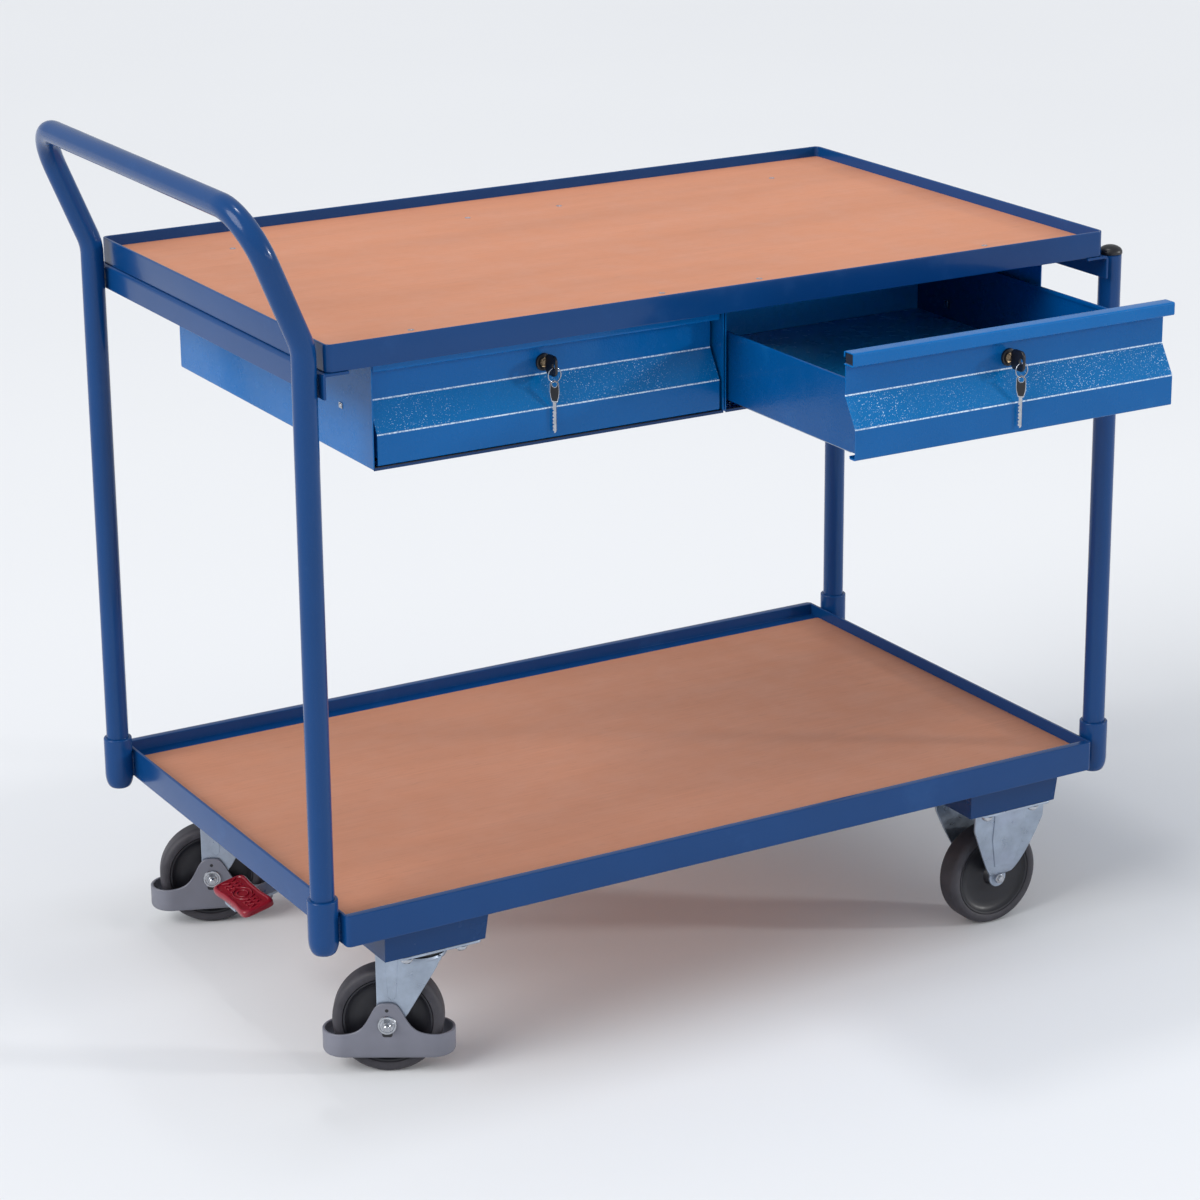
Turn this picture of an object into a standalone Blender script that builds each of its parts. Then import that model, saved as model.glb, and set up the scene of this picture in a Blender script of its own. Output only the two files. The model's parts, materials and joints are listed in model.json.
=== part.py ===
"""Two-deck steel table trolley with two hung drawers, a push handle, castors and a foot brake.

Everything is laid out from one corner: X runs from the handle end to the far end, Y from
the front edge of the lower tray to its back edge, and Z up from the floor. The empty
"trolley" then shifts that corner so that the world origin lies on the floor under the
middle of the whole object.
"""

import math

import bmesh
import bpy
from mathutils import Matrix, Vector

# ---- Driving dimensions, in metres -------------------------------------------------
GAP = 0.0003
MERGE = 0.00001
SHARP_ANGLE = math.radians(35)

# Lower tray: a folded steel frame round a board
TRAY_LENGTH = 1.000
TRAY_DEPTH = 0.618
LOWER_BASE = 0.1975
LOWER_DECK = 0.2193
LOWER_RIM = 0.2332
LOWER_CORNER = 0.006
BOARD_THICK = 0.012
SHEET = 0.002
LOWER_SIDE_FLANGE = 0.010
LOWER_SIDE_LEDGE = 0.028
LOWER_END_FLANGE = 0.0035
LOWER_END_LEDGE = 0.004
BOARD_SUPPORT = 0.014

# Upper tray: a plain angle frame round a board
UPPER_LOW = (0.0027, 0.0113)
UPPER_HIGH = (0.9993, 0.6079)
UPPER_BASE = 0.8311
UPPER_DECK = 0.8479
UPPER_RIM = 0.8607
UPPER_CORNER = 0.008
UPPER_WALL = 0.003
UPPER_SUPPORT = 0.0252

# Round tube posts; the two at the handle end run on into the push handle
TUBE_RADIUS = 0.01325
TUBE_BORE = 0.01125
TUBE_SIDES = 16
POST_LEFT = -0.0162
POST_RIGHT = 1.0203
POST_FRONT = 0.0250
POST_BACK = 0.5906
POST_FOOT = 0.2028
POST_TOP = 0.8289
BEND_HEIGHT = 0.8575
HANDLE_X = -0.0758
HANDLE_HEIGHT = 1.0028
TRAY_BEND_RADIUS = 0.060
HANDLE_BEND_RADIUS = 0.0575
SOCKET_RADIUS = 0.0169
SOCKET_BORE = 0.01355
SOCKET_FLOOR = 0.2025
SOCKET_TOP = 0.2500
SOCKET_FOOT = 0.1865
CAP_TOP = 0.8394

# Cross rails that carry the ends of the upper tray
RAIL_THICK = 0.003
RAIL_CLEARANCE = 0.0010
RAIL_WIDTH = 0.030
RAIL_LOW = 0.8036
RAIL_START = 0.010
RAIL_END = 0.608

# Drawer housings and drawers
HOUSING_CENTRES = {"left": 0.283, "right": 0.717}
HOUSING_WIDTH = 0.432
HOUSING_FRONT = 0.0405
HOUSING_BACK = 0.541
HOUSING_FLOOR = 0.7097
HOUSING_TOP = 0.8356
HOUSING_SHEET = 0.0012
HOUSING_HEM = 0.7137
HOUSING_FLANGE = 0.025
DRAWER_WIDTH = 0.421
DRAWER_DEPTH = 0.484
DRAWER_FLOOR = 0.7225
DRAWER_WALL_TOP = 0.800
DRAWER_SHEET = 0.001
DRAWER_OUT = {"left": 0.0, "right": 0.247}
FRONT_SHEET = 0.0012
FRONT_LOW = 0.714
FRONT_KNEE = 0.748
FRONT_UPPER = 0.781
FRONT_STEP = 0.8156
FRONT_TOP = 0.8299
FACET_SETBACK = 0.0197
LIP_SETBACK = 0.0029
LIP_DEPTH = 0.0178
LIP_OVERHANG = 0.002
HOOK_DEPTH = 0.0106
HOOK_RISE = 0.0036
RUNNER_LOW = 0.7142
RUNNER_THICK = 0.002
RUNNER_X = 0.195
RUNNER_START = 0.030
RUNNER_END = 0.480
GUIDE_START = 0.066
GUIDE_END = 0.536
GUIDE_TOP = 0.7200
GUIDE_SHEET = 0.001
GUIDE_PLAY = 0.0005

# Locks and their keys; lengths along Y are measured from the drawer's upper facet
LOCK_HEIGHT = 0.7937
LOCK_COLLAR = 0.0098
LOCK_BODY = 0.008
LOCK_CORE = 0.0052
LOCK_FACE = -0.003
LOCK_REAR = 0.020
KEY_BOW = 0.0115
KEY_BOW_CENTRE = -0.0175
KEY_THICK = 0.003
KEY_BLADE_THICK = 0.0018
KEY_HOLE_PLACE = -0.024
KEY_HOLE = 0.0033
RING_RADIUS = 0.0079
RING_WIRE = 0.0006
RING_PLAY = 0.0013
SPARE_HOLE = 0.0032
SPARE_THICK = 0.002
SPARE_YAW = math.radians(38)

# Castors
CASTOR_HEIGHT = 0.165
CASTOR_INSET = 0.0677
SWIVEL_X = 0.1185
FIXED_X = 0.898
SWIVEL_YAWS = {"front": -0.539, "rear": -0.384}
TRAIL = 0.035
WHEEL_RADIUS = 0.0625
WHEEL_HALF = 0.016
TYRE_INNER = 0.0503
HUB_OUTER = 0.050
FORK_INNER = 0.019
FORK_OUTER = 0.022
CROWN_LOW = 0.148
CROWN_TOP = 0.151
CROWN_RADIUS = 0.032
PLATE_LENGTH = 0.103
PLATE_DEPTH = 0.116
PLATE_THICK = 0.003
AXLE_RADIUS = 0.004
LEG_BOSS = 0.012
LEG_KNEE = 0.066
LEG_SHOULDER = 0.150
LEG_HALF = 0.0505
LEG_SPREAD = 0.0545
LEG_SPREAD_POWER = 0.7
GUARD_HALF_LENGTH = 0.0745
GUARD_HALF_WIDTH = 0.0262
GUARD_WALL = 0.0036
GUARD_LOW = 0.022
GUARD_BAND_TOP = 0.049
GUARD_HUMP_TOP = 0.088
GUARD_HUMP_WIDTH = 0.0215
GUARD_HUMP_POWER = 4
CHANNEL_RANGES = {"left": (0.049, 0.177), "right": (0.829, 0.957)}
CHANNEL_FRONT = 0.010
CHANNEL_BACK = 0.608
CHANNEL_SHEET = 0.0025
CHANNEL_TAPER = 0.005

# Foot brake: a pedal on a shaft under the handle end
SHAFT_X = 0.113
SHAFT_Z = 0.156
SHAFT_RADIUS = 0.006
SHAFT_START = 0.128
SHAFT_END = 0.490
BRACKET_PLACES = {"front": 0.150, "rear": 0.468}
PEDAL_TILT = math.radians(13)
PEDAL_NEAR = 0.075
PEDAL_FAR = 0.121
PEDAL_HALF = 0.045
PEDAL_WAIST = 0.0045
PEDAL_CORNER_POWER = 6
PEDAL_THICK = 0.008
LEVER_HALF = 0.0135
LEVER_THICK = 0.004

# The whole object's extent gives the middle that the origin lies under
FRONTMOST = HOUSING_FRONT - DRAWER_OUT["right"] + FACET_SETBACK + KEY_BOW_CENTRE - KEY_BOW
CENTRE_X = (HANDLE_X - TUBE_RADIUS + POST_RIGHT + SOCKET_RADIUS) / 2
CENTRE_Y = (FRONTMOST + TRAY_DEPTH) / 2

# Name: colour, roughness, metallic
FINISHES = {
    "blue_paint": ((0.018, 0.062, 0.190, 1.0), 0.32, 0.1),
    "drawer_paint": ((0.010, 0.080, 0.300, 1.0), 0.28, 0.1),
    "board": ((0.560, 0.260, 0.170, 1.0), 0.55, 0.0),
    "zinc": ((0.550, 0.600, 0.680, 1.0), 0.35, 0.9),
    "tyre": ((0.090, 0.090, 0.105, 1.0), 0.60, 0.0),
    "hub": ((0.030, 0.030, 0.038, 1.0), 0.45, 0.0),
    "guard": ((0.190, 0.195, 0.225, 1.0), 0.50, 0.0),
    "pedal": ((0.330, 0.010, 0.030, 1.0), 0.40, 0.0),
    "black_plastic": ((0.015, 0.015, 0.018, 1.0), 0.45, 0.0),
    "brass": ((0.600, 0.450, 0.250, 1.0), 0.30, 1.0),
}


# ---- Scene and object helpers ------------------------------------------------------
def clear_scene():
    for obj in list(bpy.data.objects):
        bpy.data.objects.remove(obj, do_unlink=True)


def finish(name):
    found = bpy.data.materials.get(name)
    if found:
        return found
    colour, roughness, metallic = FINISHES[name]
    made = bpy.data.materials.new(name)
    made.use_nodes = True
    shader = made.node_tree.nodes["Principled BSDF"]
    shader.inputs["Base Color"].default_value = colour
    shader.inputs["Roughness"].default_value = roughness
    shader.inputs["Metallic"].default_value = metallic
    made.diffuse_color = colour
    return made


def empty(name, parent, location, turn=Matrix()):
    made = bpy.data.objects.new(name, None)
    bpy.context.scene.collection.objects.link(made)
    made.parent = parent
    made.matrix_local = Matrix.Translation(location) @ turn
    return made


def solid(name, bm, finish_name, parent):
    """Turns a bmesh, drawn in its parent's frame, into a named object."""
    bmesh.ops.remove_doubles(bm, verts=bm.verts, dist=MERGE)
    bmesh.ops.recalc_face_normals(bm, faces=bm.faces)
    mesh = bpy.data.meshes.new(name)
    bm.to_mesh(mesh)
    bm.free()
    mesh.materials.append(finish(finish_name))
    mesh.shade_smooth()
    mesh.set_sharp_from_angle(angle=SHARP_ANGLE)
    made = bpy.data.objects.new(name, mesh)
    bpy.context.scene.collection.objects.link(made)
    made.parent = parent
    return made


def combine(target, bm, operation):
    """Adds a Boolean to the target, with the bmesh as its hidden helper."""
    name = f"{target.name}_{operation.lower()}_{len(target.modifiers)}"
    helper = solid(name, bm, "blue_paint", target.parent)
    helper.hide_render = True
    helper.display_type = "WIRE"
    modifier = target.modifiers.new(name, "BOOLEAN")
    modifier.object = helper
    modifier.operation = operation
    modifier.solver = "EXACT"


def box(low, high):
    bm = bmesh.new()
    xs, ys, zs = zip(low, high)
    corners = [bm.verts.new((x, y, z)) for x in xs for y in ys for z in zs]
    for side in ((0, 1, 3, 2), (4, 6, 7, 5), (0, 4, 5, 1), (2, 3, 7, 6), (0, 2, 6, 4), (1, 5, 7, 3)):
        bm.faces.new([corners[i] for i in side])
    return bm


def prism(outline, axis, start, end):
    """Extrudes an outline along an axis; its points hold the other two coordinates in order."""
    places = {
        "X": lambda a, b, along: (along, a, b),
        "Y": lambda a, b, along: (a, along, b),
        "Z": lambda a, b, along: (a, b, along),
    }
    place = places[axis]
    bm = bmesh.new()
    first = [bm.verts.new(place(a, b, start)) for a, b in outline]
    last = [bm.verts.new(place(a, b, end)) for a, b in outline]
    bm.faces.new(first)
    bm.faces.new(list(reversed(last)))
    count = len(outline)
    for i in range(count):
        j = (i + 1) % count
        bm.faces.new((first[i], first[j], last[j], last[i]))
    return bm


def lathe(profile, sides, place=Matrix(), ring=False):
    """Turns a profile of (radius, height) about Z, then moves it; a ring profile is closed."""
    bm = bmesh.new()
    rows = []
    for radius, height in profile:
        count = 1 if radius < MERGE else sides
        angles = [2 * math.pi * i / sides for i in range(count)]
        row = [Vector((radius * math.cos(a), radius * math.sin(a), height)) for a in angles]
        rows.append([bm.verts.new(place @ point) for point in row])
    pairs = list(zip(rows, rows[1:]))
    if ring:
        pairs.append((rows[-1], rows[0]))
    for below, above in pairs:
        for i in range(sides):
            j = i + 1
            around = (below[i % len(below)], below[j % len(below)], above[j % len(above)], above[i % len(above)])
            bm.faces.new(list(dict.fromkeys(around)))
    return bm


def along_y(x, y, z):
    """Places a turned shape with its axis along Y."""
    return Matrix.Translation((x, y, z)) @ Matrix.Rotation(math.radians(-90), 4, "X")


def arc(centre, radius, start, end, steps):
    """Points on a circle, from one angle in degrees to another."""
    angles = [math.radians(start + (end - start) * i / steps) for i in range(steps + 1)]
    return [(centre[0] + radius * math.cos(a), centre[1] + radius * math.sin(a)) for a in angles]


def rounded_rectangle(low, high, radius, steps=4):
    centres = (
        (high[0] - radius, high[1] - radius, 0),
        (low[0] + radius, high[1] - radius, 90),
        (low[0] + radius, low[1] + radius, 180),
        (high[0] - radius, low[1] + radius, 270),
    )
    outline = []
    for x, y, start in centres:
        outline += arc((x, y), radius, start, start + 90, steps)
    return outline


def rounded_path(corners, radii, steps):
    """Replaces each inner corner of a path with an arc of the given radius."""
    path = [corners[0]]
    for before, corner, after, radius in zip(corners, corners[1:], corners[2:], radii):
        back = (before - corner).normalized()
        ahead = (after - corner).normalized()
        half = back.angle(ahead) / 2
        reach = radius / math.tan(half)
        centre = corner + (back + ahead).normalized() * radius / math.sin(half)
        start = corner + back * reach - centre
        end = corner + ahead * reach - centre
        for i in range(steps + 1):
            path.append(centre + start.slerp(end, i / steps) * radius)
    path.append(corners[-1])
    return path


def tube(path, outer, bore, sides):
    """A hollow tube with open ends along a path, its section carried without twist."""
    bm = bmesh.new()
    rows = []
    across = Vector((1, 0, 0))
    for i, point in enumerate(path):
        direction = (path[min(i + 1, len(path) - 1)] - path[max(i - 1, 0)]).normalized()
        across = (across - direction * across.dot(direction)).normalized()
        upright = direction.cross(across)
        for rows_of, radius in ((0, outer), (1, bore)):
            ring = []
            for k in range(sides):
                angle = 2 * math.pi * k / sides
                offset = across * math.cos(angle) + upright * math.sin(angle)
                ring.append(bm.verts.new(point + offset * radius))
            rows.append((rows_of, ring))
    outers = [ring for kind, ring in rows if kind == 0]
    bores = [ring for kind, ring in rows if kind == 1]
    pairs = list(zip(outers, outers[1:])) + list(zip(bores, bores[1:]))
    pairs += [(outers[0], bores[0]), (outers[-1], bores[-1])]
    for one, other in pairs:
        for k in range(sides):
            n = (k + 1) % sides
            bm.faces.new((one[k], one[n], other[n], other[k]))
    return bm


def tray_ring(low, high, corner, section, steps=4):
    """Carries a closed section round a rectangle; its points are (end inset, side inset, height)."""
    corners = (
        (low[0], low[1], 1, 1),
        (high[0], low[1], -1, 1),
        (high[0], high[1], -1, -1),
        (low[0], high[1], 1, -1),
    )
    bm = bmesh.new()
    stations = []
    for number, (edge_x, edge_y, to_x, to_y) in enumerate(corners):
        angles = [math.radians(90 * i / steps) for i in range(steps + 1)]
        for angle in angles if number % 2 == 0 else reversed(angles):
            station = []
            for end_inset, side_inset, height in section:
                reach_x = max(corner, end_inset)
                reach_y = max(corner, side_inset)
                x = edge_x + to_x * (reach_x - (reach_x - end_inset) * math.cos(angle))
                y = edge_y + to_y * (reach_y - (reach_y - side_inset) * math.sin(angle))
                station.append(bm.verts.new((x, y, height)))
            stations.append(station)
    count = len(section)
    for one, other in zip(stations, stations[1:] + stations[:1]):
        for i in range(count):
            j = (i + 1) % count
            bm.faces.new((one[i], one[j], other[j], other[i]))
    return bm


# ---- Trays -------------------------------------------------------------------------
def socket_mesh(x, y):
    """A blind cup welded to the tray's corner, which holds a post's foot."""
    profile = [
        (0.0, SOCKET_FOOT),
        (0.0098, SOCKET_FOOT),
        (0.0128, SOCKET_FOOT + 0.0022),
        (0.0150, SOCKET_FOOT + 0.0070),
        (0.0163, SOCKET_FOOT + 0.0125),
        (SOCKET_RADIUS, SOCKET_FOOT + 0.0180),
        (SOCKET_RADIUS, SOCKET_TOP - 0.0020),
        (SOCKET_RADIUS - 0.0015, SOCKET_TOP),
        (SOCKET_BORE, SOCKET_TOP),
        (SOCKET_BORE, SOCKET_FLOOR),
        (0.0, SOCKET_FLOOR),
    ]
    return lathe(profile, TUBE_SIDES, Matrix.Translation((x, y, 0)))


def lower_tray(trolley):
    support = LOWER_DECK - BOARD_THICK - GAP
    side, end = LOWER_SIDE_FLANGE, LOWER_END_FLANGE
    section = [
        (0.0, 0.0, LOWER_BASE),
        (0.0, 0.0, LOWER_RIM),
        (end, side, LOWER_RIM),
        (end, side, LOWER_DECK),
        (LOWER_END_LEDGE, LOWER_SIDE_LEDGE, LOWER_DECK),
        (LOWER_END_LEDGE, LOWER_SIDE_LEDGE, support),
        (LOWER_END_LEDGE + BOARD_SUPPORT, LOWER_SIDE_LEDGE + BOARD_SUPPORT, support),
        (LOWER_END_LEDGE + BOARD_SUPPORT, LOWER_SIDE_LEDGE + BOARD_SUPPORT, support - SHEET),
        (SHEET + 0.001, LOWER_SIDE_LEDGE - SHEET, support - SHEET),
        (SHEET + 0.001, LOWER_SIDE_LEDGE - SHEET, LOWER_DECK - SHEET),
        (SHEET + 0.0005, side - SHEET, LOWER_DECK - SHEET),
        (SHEET + 0.0005, side - SHEET, LOWER_RIM - SHEET),
        (SHEET, SHEET, LOWER_RIM - SHEET),
        (SHEET, SHEET, LOWER_BASE),
    ]
    ring = tray_ring((0.0, 0.0), (TRAY_LENGTH, TRAY_DEPTH), LOWER_CORNER, section)
    frame = solid("bottom_tray_frame", ring, "blue_paint", trolley)
    weld_half = 0.005
    for x, wall in ((POST_LEFT, SHEET / 2), (POST_RIGHT, TRAY_LENGTH - SHEET / 2)):
        inner = x + math.copysign(SOCKET_RADIUS - 0.001, wall - x)
        for y in (POST_FRONT, POST_BACK):
            combine(frame, socket_mesh(x, y), "UNION")
            low = (min(inner, wall), y - weld_half, LOWER_BASE + 0.003)
            high = (max(inner, wall), y + weld_half, LOWER_RIM - 0.004)
            combine(frame, box(low, high), "UNION")
    inset_end = LOWER_END_LEDGE + GAP
    inset_side = LOWER_SIDE_LEDGE + GAP
    outline = rounded_rectangle((inset_end, inset_side), (TRAY_LENGTH - inset_end, TRAY_DEPTH - inset_side), 0.002, 2)
    solid("bottom_board", prism(outline, "Z", LOWER_DECK - BOARD_THICK, LOWER_DECK), "board", trolley)


def upper_tray(trolley):
    support = UPPER_DECK - BOARD_THICK - GAP
    points = [
        (0.0, UPPER_BASE),
        (0.0, UPPER_RIM),
        (UPPER_WALL, UPPER_RIM),
        (UPPER_WALL, support),
        (UPPER_WALL + UPPER_SUPPORT, support),
        (UPPER_WALL + UPPER_SUPPORT, support - SHEET),
        (UPPER_WALL, support - SHEET),
        (UPPER_WALL, UPPER_BASE),
    ]
    section = [(inset, inset, height) for inset, height in points]
    solid("top_tray_frame", tray_ring(UPPER_LOW, UPPER_HIGH, UPPER_CORNER, section), "blue_paint", trolley)
    inset = UPPER_WALL + GAP
    low = (UPPER_LOW[0] + inset, UPPER_LOW[1] + inset)
    high = (UPPER_HIGH[0] - inset, UPPER_HIGH[1] - inset)
    outline = rounded_rectangle(low, high, UPPER_CORNER - inset)
    solid("top_board", prism(outline, "Z", UPPER_DECK - BOARD_THICK, UPPER_DECK), "board", trolley)


# ---- Posts, handle and cross rails -------------------------------------------------
def handle_and_posts(trolley):
    side = [(POST_LEFT, POST_FOOT), (POST_LEFT, BEND_HEIGHT), (HANDLE_X, HANDLE_HEIGHT)]
    front = [Vector((x, POST_FRONT, z)) for x, z in side]
    back = [Vector((x, POST_BACK, z)) for x, z in reversed(side)]
    radii = (TRAY_BEND_RADIUS, HANDLE_BEND_RADIUS, HANDLE_BEND_RADIUS, TRAY_BEND_RADIUS)
    path = rounded_path(front + back, radii, 5)
    solid("handle_frame", tube(path, TUBE_RADIUS, TUBE_BORE, TUBE_SIDES), "blue_paint", trolley)
    wall = [
        (TUBE_RADIUS, POST_FOOT),
        (TUBE_RADIUS, POST_TOP),
        (TUBE_BORE, POST_TOP),
        (TUBE_BORE, POST_FOOT),
    ]
    cap_foot = POST_TOP + GAP
    plug = TUBE_BORE - 0.0004
    dome = [
        (0.0, CAP_TOP),
        (0.0070, CAP_TOP - 0.0007),
        (0.0112, CAP_TOP - 0.0030),
        (0.0136, CAP_TOP - 0.0070),
        (0.0139, cap_foot),
        (plug, cap_foot),
        (plug, cap_foot - 0.012),
        (0.0, cap_foot - 0.012),
    ]
    for end, y in (("front", POST_FRONT), ("rear", POST_BACK)):
        place = Matrix.Translation((POST_RIGHT, y, 0))
        solid(f"post_{end}_right", lathe(wall, TUBE_SIDES, place, ring=True), "blue_paint", trolley)
        solid(f"post_cap_{end}", lathe(dome, TUBE_SIDES, place), "black_plastic", trolley)


def cross_rails(trolley):
    """An angle at each end, standing between the posts and the upper tray."""
    top = UPPER_BASE - GAP
    for end, outer, inward in (("left", POST_LEFT + TUBE_RADIUS, 1), ("right", POST_RIGHT - TUBE_RADIUS, -1)):
        face = outer + inward * RAIL_CLEARANCE
        outline = [
            (face, RAIL_LOW),
            (face, top),
            (face + inward * RAIL_WIDTH, top),
            (face + inward * RAIL_WIDTH, top - RAIL_THICK),
            (face + inward * RAIL_THICK, top - RAIL_THICK),
            (face + inward * RAIL_THICK, RAIL_LOW),
        ]
        solid(f"cross_rail_{end}", prism(outline, "Y", RAIL_START, RAIL_END), "blue_paint", trolley)


# ---- Drawer housings, guides and drawers -------------------------------------------
def housing(trolley, side):
    centre = HOUSING_CENTRES[side]
    left = centre - HOUSING_WIDTH / 2
    right = centre + HOUSING_WIDTH / 2
    sheet = HOUSING_SHEET
    shell = solid(
        f"drawer_housing_{side}",
        box((left, HOUSING_FRONT, HOUSING_FLOOR), (right, HOUSING_BACK, HOUSING_TOP)),
        "blue_paint",
        trolley,
    )
    ahead = HOUSING_FRONT - 0.010
    low = (left + sheet, HOUSING_FRONT + sheet, HOUSING_FLOOR + sheet)
    combine(shell, box(low, (right - sheet, HOUSING_BACK - sheet, HOUSING_TOP - sheet)), "DIFFERENCE")
    mouth_low = (left + sheet, ahead, HOUSING_HEM)
    mouth_high = (right - sheet, HOUSING_FRONT + 2 * sheet, HOUSING_TOP + 0.010)
    combine(shell, box(mouth_low, mouth_high), "DIFFERENCE")
    roof_low = (left + HOUSING_FLANGE, HOUSING_FRONT + HOUSING_FLANGE, HOUSING_TOP - 2 * sheet)
    roof_high = (right - HOUSING_FLANGE, HOUSING_BACK - HOUSING_FLANGE, HOUSING_TOP + 0.010)
    combine(shell, box(roof_low, roof_high), "DIFFERENCE")


def guide_rails(trolley, side):
    """Two channels on the housing's floor, open upwards, in which the drawer's runners slide."""
    centre = HOUSING_CENTRES[side]
    base = HOUSING_FLOOR + HOUSING_SHEET + GAP
    inner = RUNNER_THICK / 2 + GUIDE_PLAY
    outer = inner + GUIDE_SHEET
    outline = [
        (-outer, base),
        (outer, base),
        (outer, GUIDE_TOP),
        (inner, GUIDE_TOP),
        (inner, base + GUIDE_SHEET),
        (-inner, base + GUIDE_SHEET),
        (-inner, GUIDE_TOP),
        (-outer, GUIDE_TOP),
    ]
    for hand, sign in (("a", -1), ("b", 1)):
        middle = centre + sign * RUNNER_X
        shifted = [(middle + x, z) for x, z in outline]
        solid(f"guide_rail_{side}_{hand}", prism(shifted, "Y", GUIDE_START, GUIDE_END), "zinc", trolley)


def front_outline():
    """The folded front seen from its end, with Y from the lower facet's plane."""
    t = FRONT_SHEET
    slope = math.atan2(FACET_SETBACK, FRONT_UPPER - FRONT_KNEE)
    shift = t * math.tan(slope / 2)
    return [
        (HOOK_DEPTH, FRONT_LOW + HOOK_RISE),
        (HOOK_DEPTH, FRONT_LOW),
        (0.0, FRONT_LOW),
        (0.0, FRONT_KNEE),
        (FACET_SETBACK, FRONT_UPPER),
        (FACET_SETBACK, FRONT_STEP),
        (FACET_SETBACK + t, FRONT_STEP),
        (FACET_SETBACK + t, FRONT_UPPER - shift),
        (t, FRONT_KNEE - shift),
        (t, FRONT_LOW + t),
        (HOOK_DEPTH - t, FRONT_LOW + t),
        (HOOK_DEPTH - t, FRONT_LOW + HOOK_RISE),
    ]


def drawer_front(drawer, side):
    half = DRAWER_WIDTH / 2
    front = solid(f"drawer_front_{side}", prism(front_outline(), "X", -half, half), "drawer_paint", drawer)
    t = FRONT_SHEET
    back = LIP_SETBACK + LIP_DEPTH
    low = FRONT_STEP - t / 2
    lip = [
        (LIP_SETBACK, low),
        (LIP_SETBACK, FRONT_TOP),
        (back, FRONT_TOP),
        (back, FRONT_TOP - 2 * t),
        (back - t, FRONT_TOP - 2 * t),
        (back - t, FRONT_TOP - t),
        (LIP_SETBACK + t, FRONT_TOP - t),
        (LIP_SETBACK + t, low + t),
        (back + t, low + t),
        (back + t, low),
    ]
    combine(front, prism(lip, "X", -half - LIP_OVERHANG, half + LIP_OVERHANG), "UNION")
    bore = LOCK_BODY + GAP
    reach = 0.010
    profile = [(0.0, -reach), (bore, -reach), (bore, reach), (0.0, reach)]
    combine(front, lathe(profile, 20, along_y(0, FACET_SETBACK, LOCK_HEIGHT)), "DIFFERENCE")


def drawer_box(drawer, side):
    """The tray of the drawer, closed by its front, with two runners under its floor."""
    start = FRONT_SHEET + GAP
    half = DRAWER_WIDTH / 2
    wall = DRAWER_SHEET
    outline = [
        (start, DRAWER_FLOOR),
        (start, FRONT_KNEE - GAP),
        (FACET_SETBACK + start, FRONT_UPPER - GAP),
        (FACET_SETBACK + start, DRAWER_WALL_TOP),
        (DRAWER_DEPTH, DRAWER_WALL_TOP),
        (DRAWER_DEPTH, DRAWER_FLOOR),
    ]
    tray = solid(f"drawer_box_{side}", prism(outline, "X", -half, half), "drawer_paint", drawer)
    low = (-half + wall, -0.010, DRAWER_FLOOR + wall)
    combine(tray, box(low, (half - wall, DRAWER_DEPTH - wall, DRAWER_WALL_TOP + 0.010)), "DIFFERENCE")
    for hand, sign in (("a", -1), ("b", 1)):
        middle = sign * RUNNER_X
        low = (middle - RUNNER_THICK / 2, RUNNER_START, RUNNER_LOW)
        high = (middle + RUNNER_THICK / 2, RUNNER_END, DRAWER_FLOOR - GAP)
        solid(f"drawer_runner_{side}_{hand}", box(low, high), "zinc", drawer)


def lock(drawer, side):
    """The barrel stays in the drawer front; the core turns in it with the key."""
    axis = empty(f"lock_axis_{side}", drawer, (0, FACET_SETBACK, LOCK_HEIGHT))
    barrel = [
        (LOCK_CORE + GAP, LOCK_FACE),
        (LOCK_COLLAR - 0.0008, LOCK_FACE),
        (LOCK_COLLAR, LOCK_FACE + 0.0008),
        (LOCK_COLLAR, -GAP),
        (LOCK_BODY, -GAP),
        (LOCK_BODY, LOCK_REAR),
        (LOCK_CORE + GAP, LOCK_REAR),
    ]
    solid(f"lock_barrel_{side}", lathe(barrel, 20, along_y(0, 0, 0), ring=True), "black_plastic", axis)
    core_face = LOCK_FACE + 0.0004
    core = [(0.0, core_face), (LOCK_CORE, core_face), (LOCK_CORE, LOCK_REAR + 0.003), (0.0, LOCK_REAR + 0.003)]
    turning = solid(f"lock_core_{side}", lathe(core, 16, along_y(0, 0, 0)), "brass", axis)
    cam = box((-0.024, LOCK_REAR + 0.0005, -0.004), (0.006, LOCK_REAR + 0.0025, 0.004))
    combine(turning, cam, "UNION")
    slot = box((-0.0012, LOCK_FACE - 0.001, -0.0039), (0.0012, 0.0130, 0.0039))
    combine(turning, slot, "DIFFERENCE")
    key(axis, side)
    hanging_keys(axis, side)


def key(axis, side):
    """A flat key with a round bow, standing upright in the core."""
    start = math.degrees(math.asin(0.0035 / KEY_BOW))
    outline = arc((KEY_BOW_CENTRE, 0), KEY_BOW, start, 360 - start, 22)
    outline += [(-0.0045, -0.0035), (-0.0045, -0.0028), (0.0120, -0.0028), (0.0120, 0.0028), (-0.0045, 0.0028)]
    outline += [(-0.0045, 0.0035)]
    blade = prism(outline, "X", -KEY_BLADE_THICK / 2, KEY_BLADE_THICK / 2)
    made = solid(f"key_{side}", blade, "black_plastic", axis)
    grip = arc((KEY_BOW_CENTRE, 0), KEY_BOW, 0, 345, 23)
    combine(made, prism(grip, "X", -KEY_THICK / 2, KEY_THICK / 2), "UNION")
    hole = arc((KEY_HOLE_PLACE, 0), KEY_HOLE, 0, 330, 11)
    combine(made, prism(hole, "X", -KEY_THICK, KEY_THICK), "DIFFERENCE")


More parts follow.
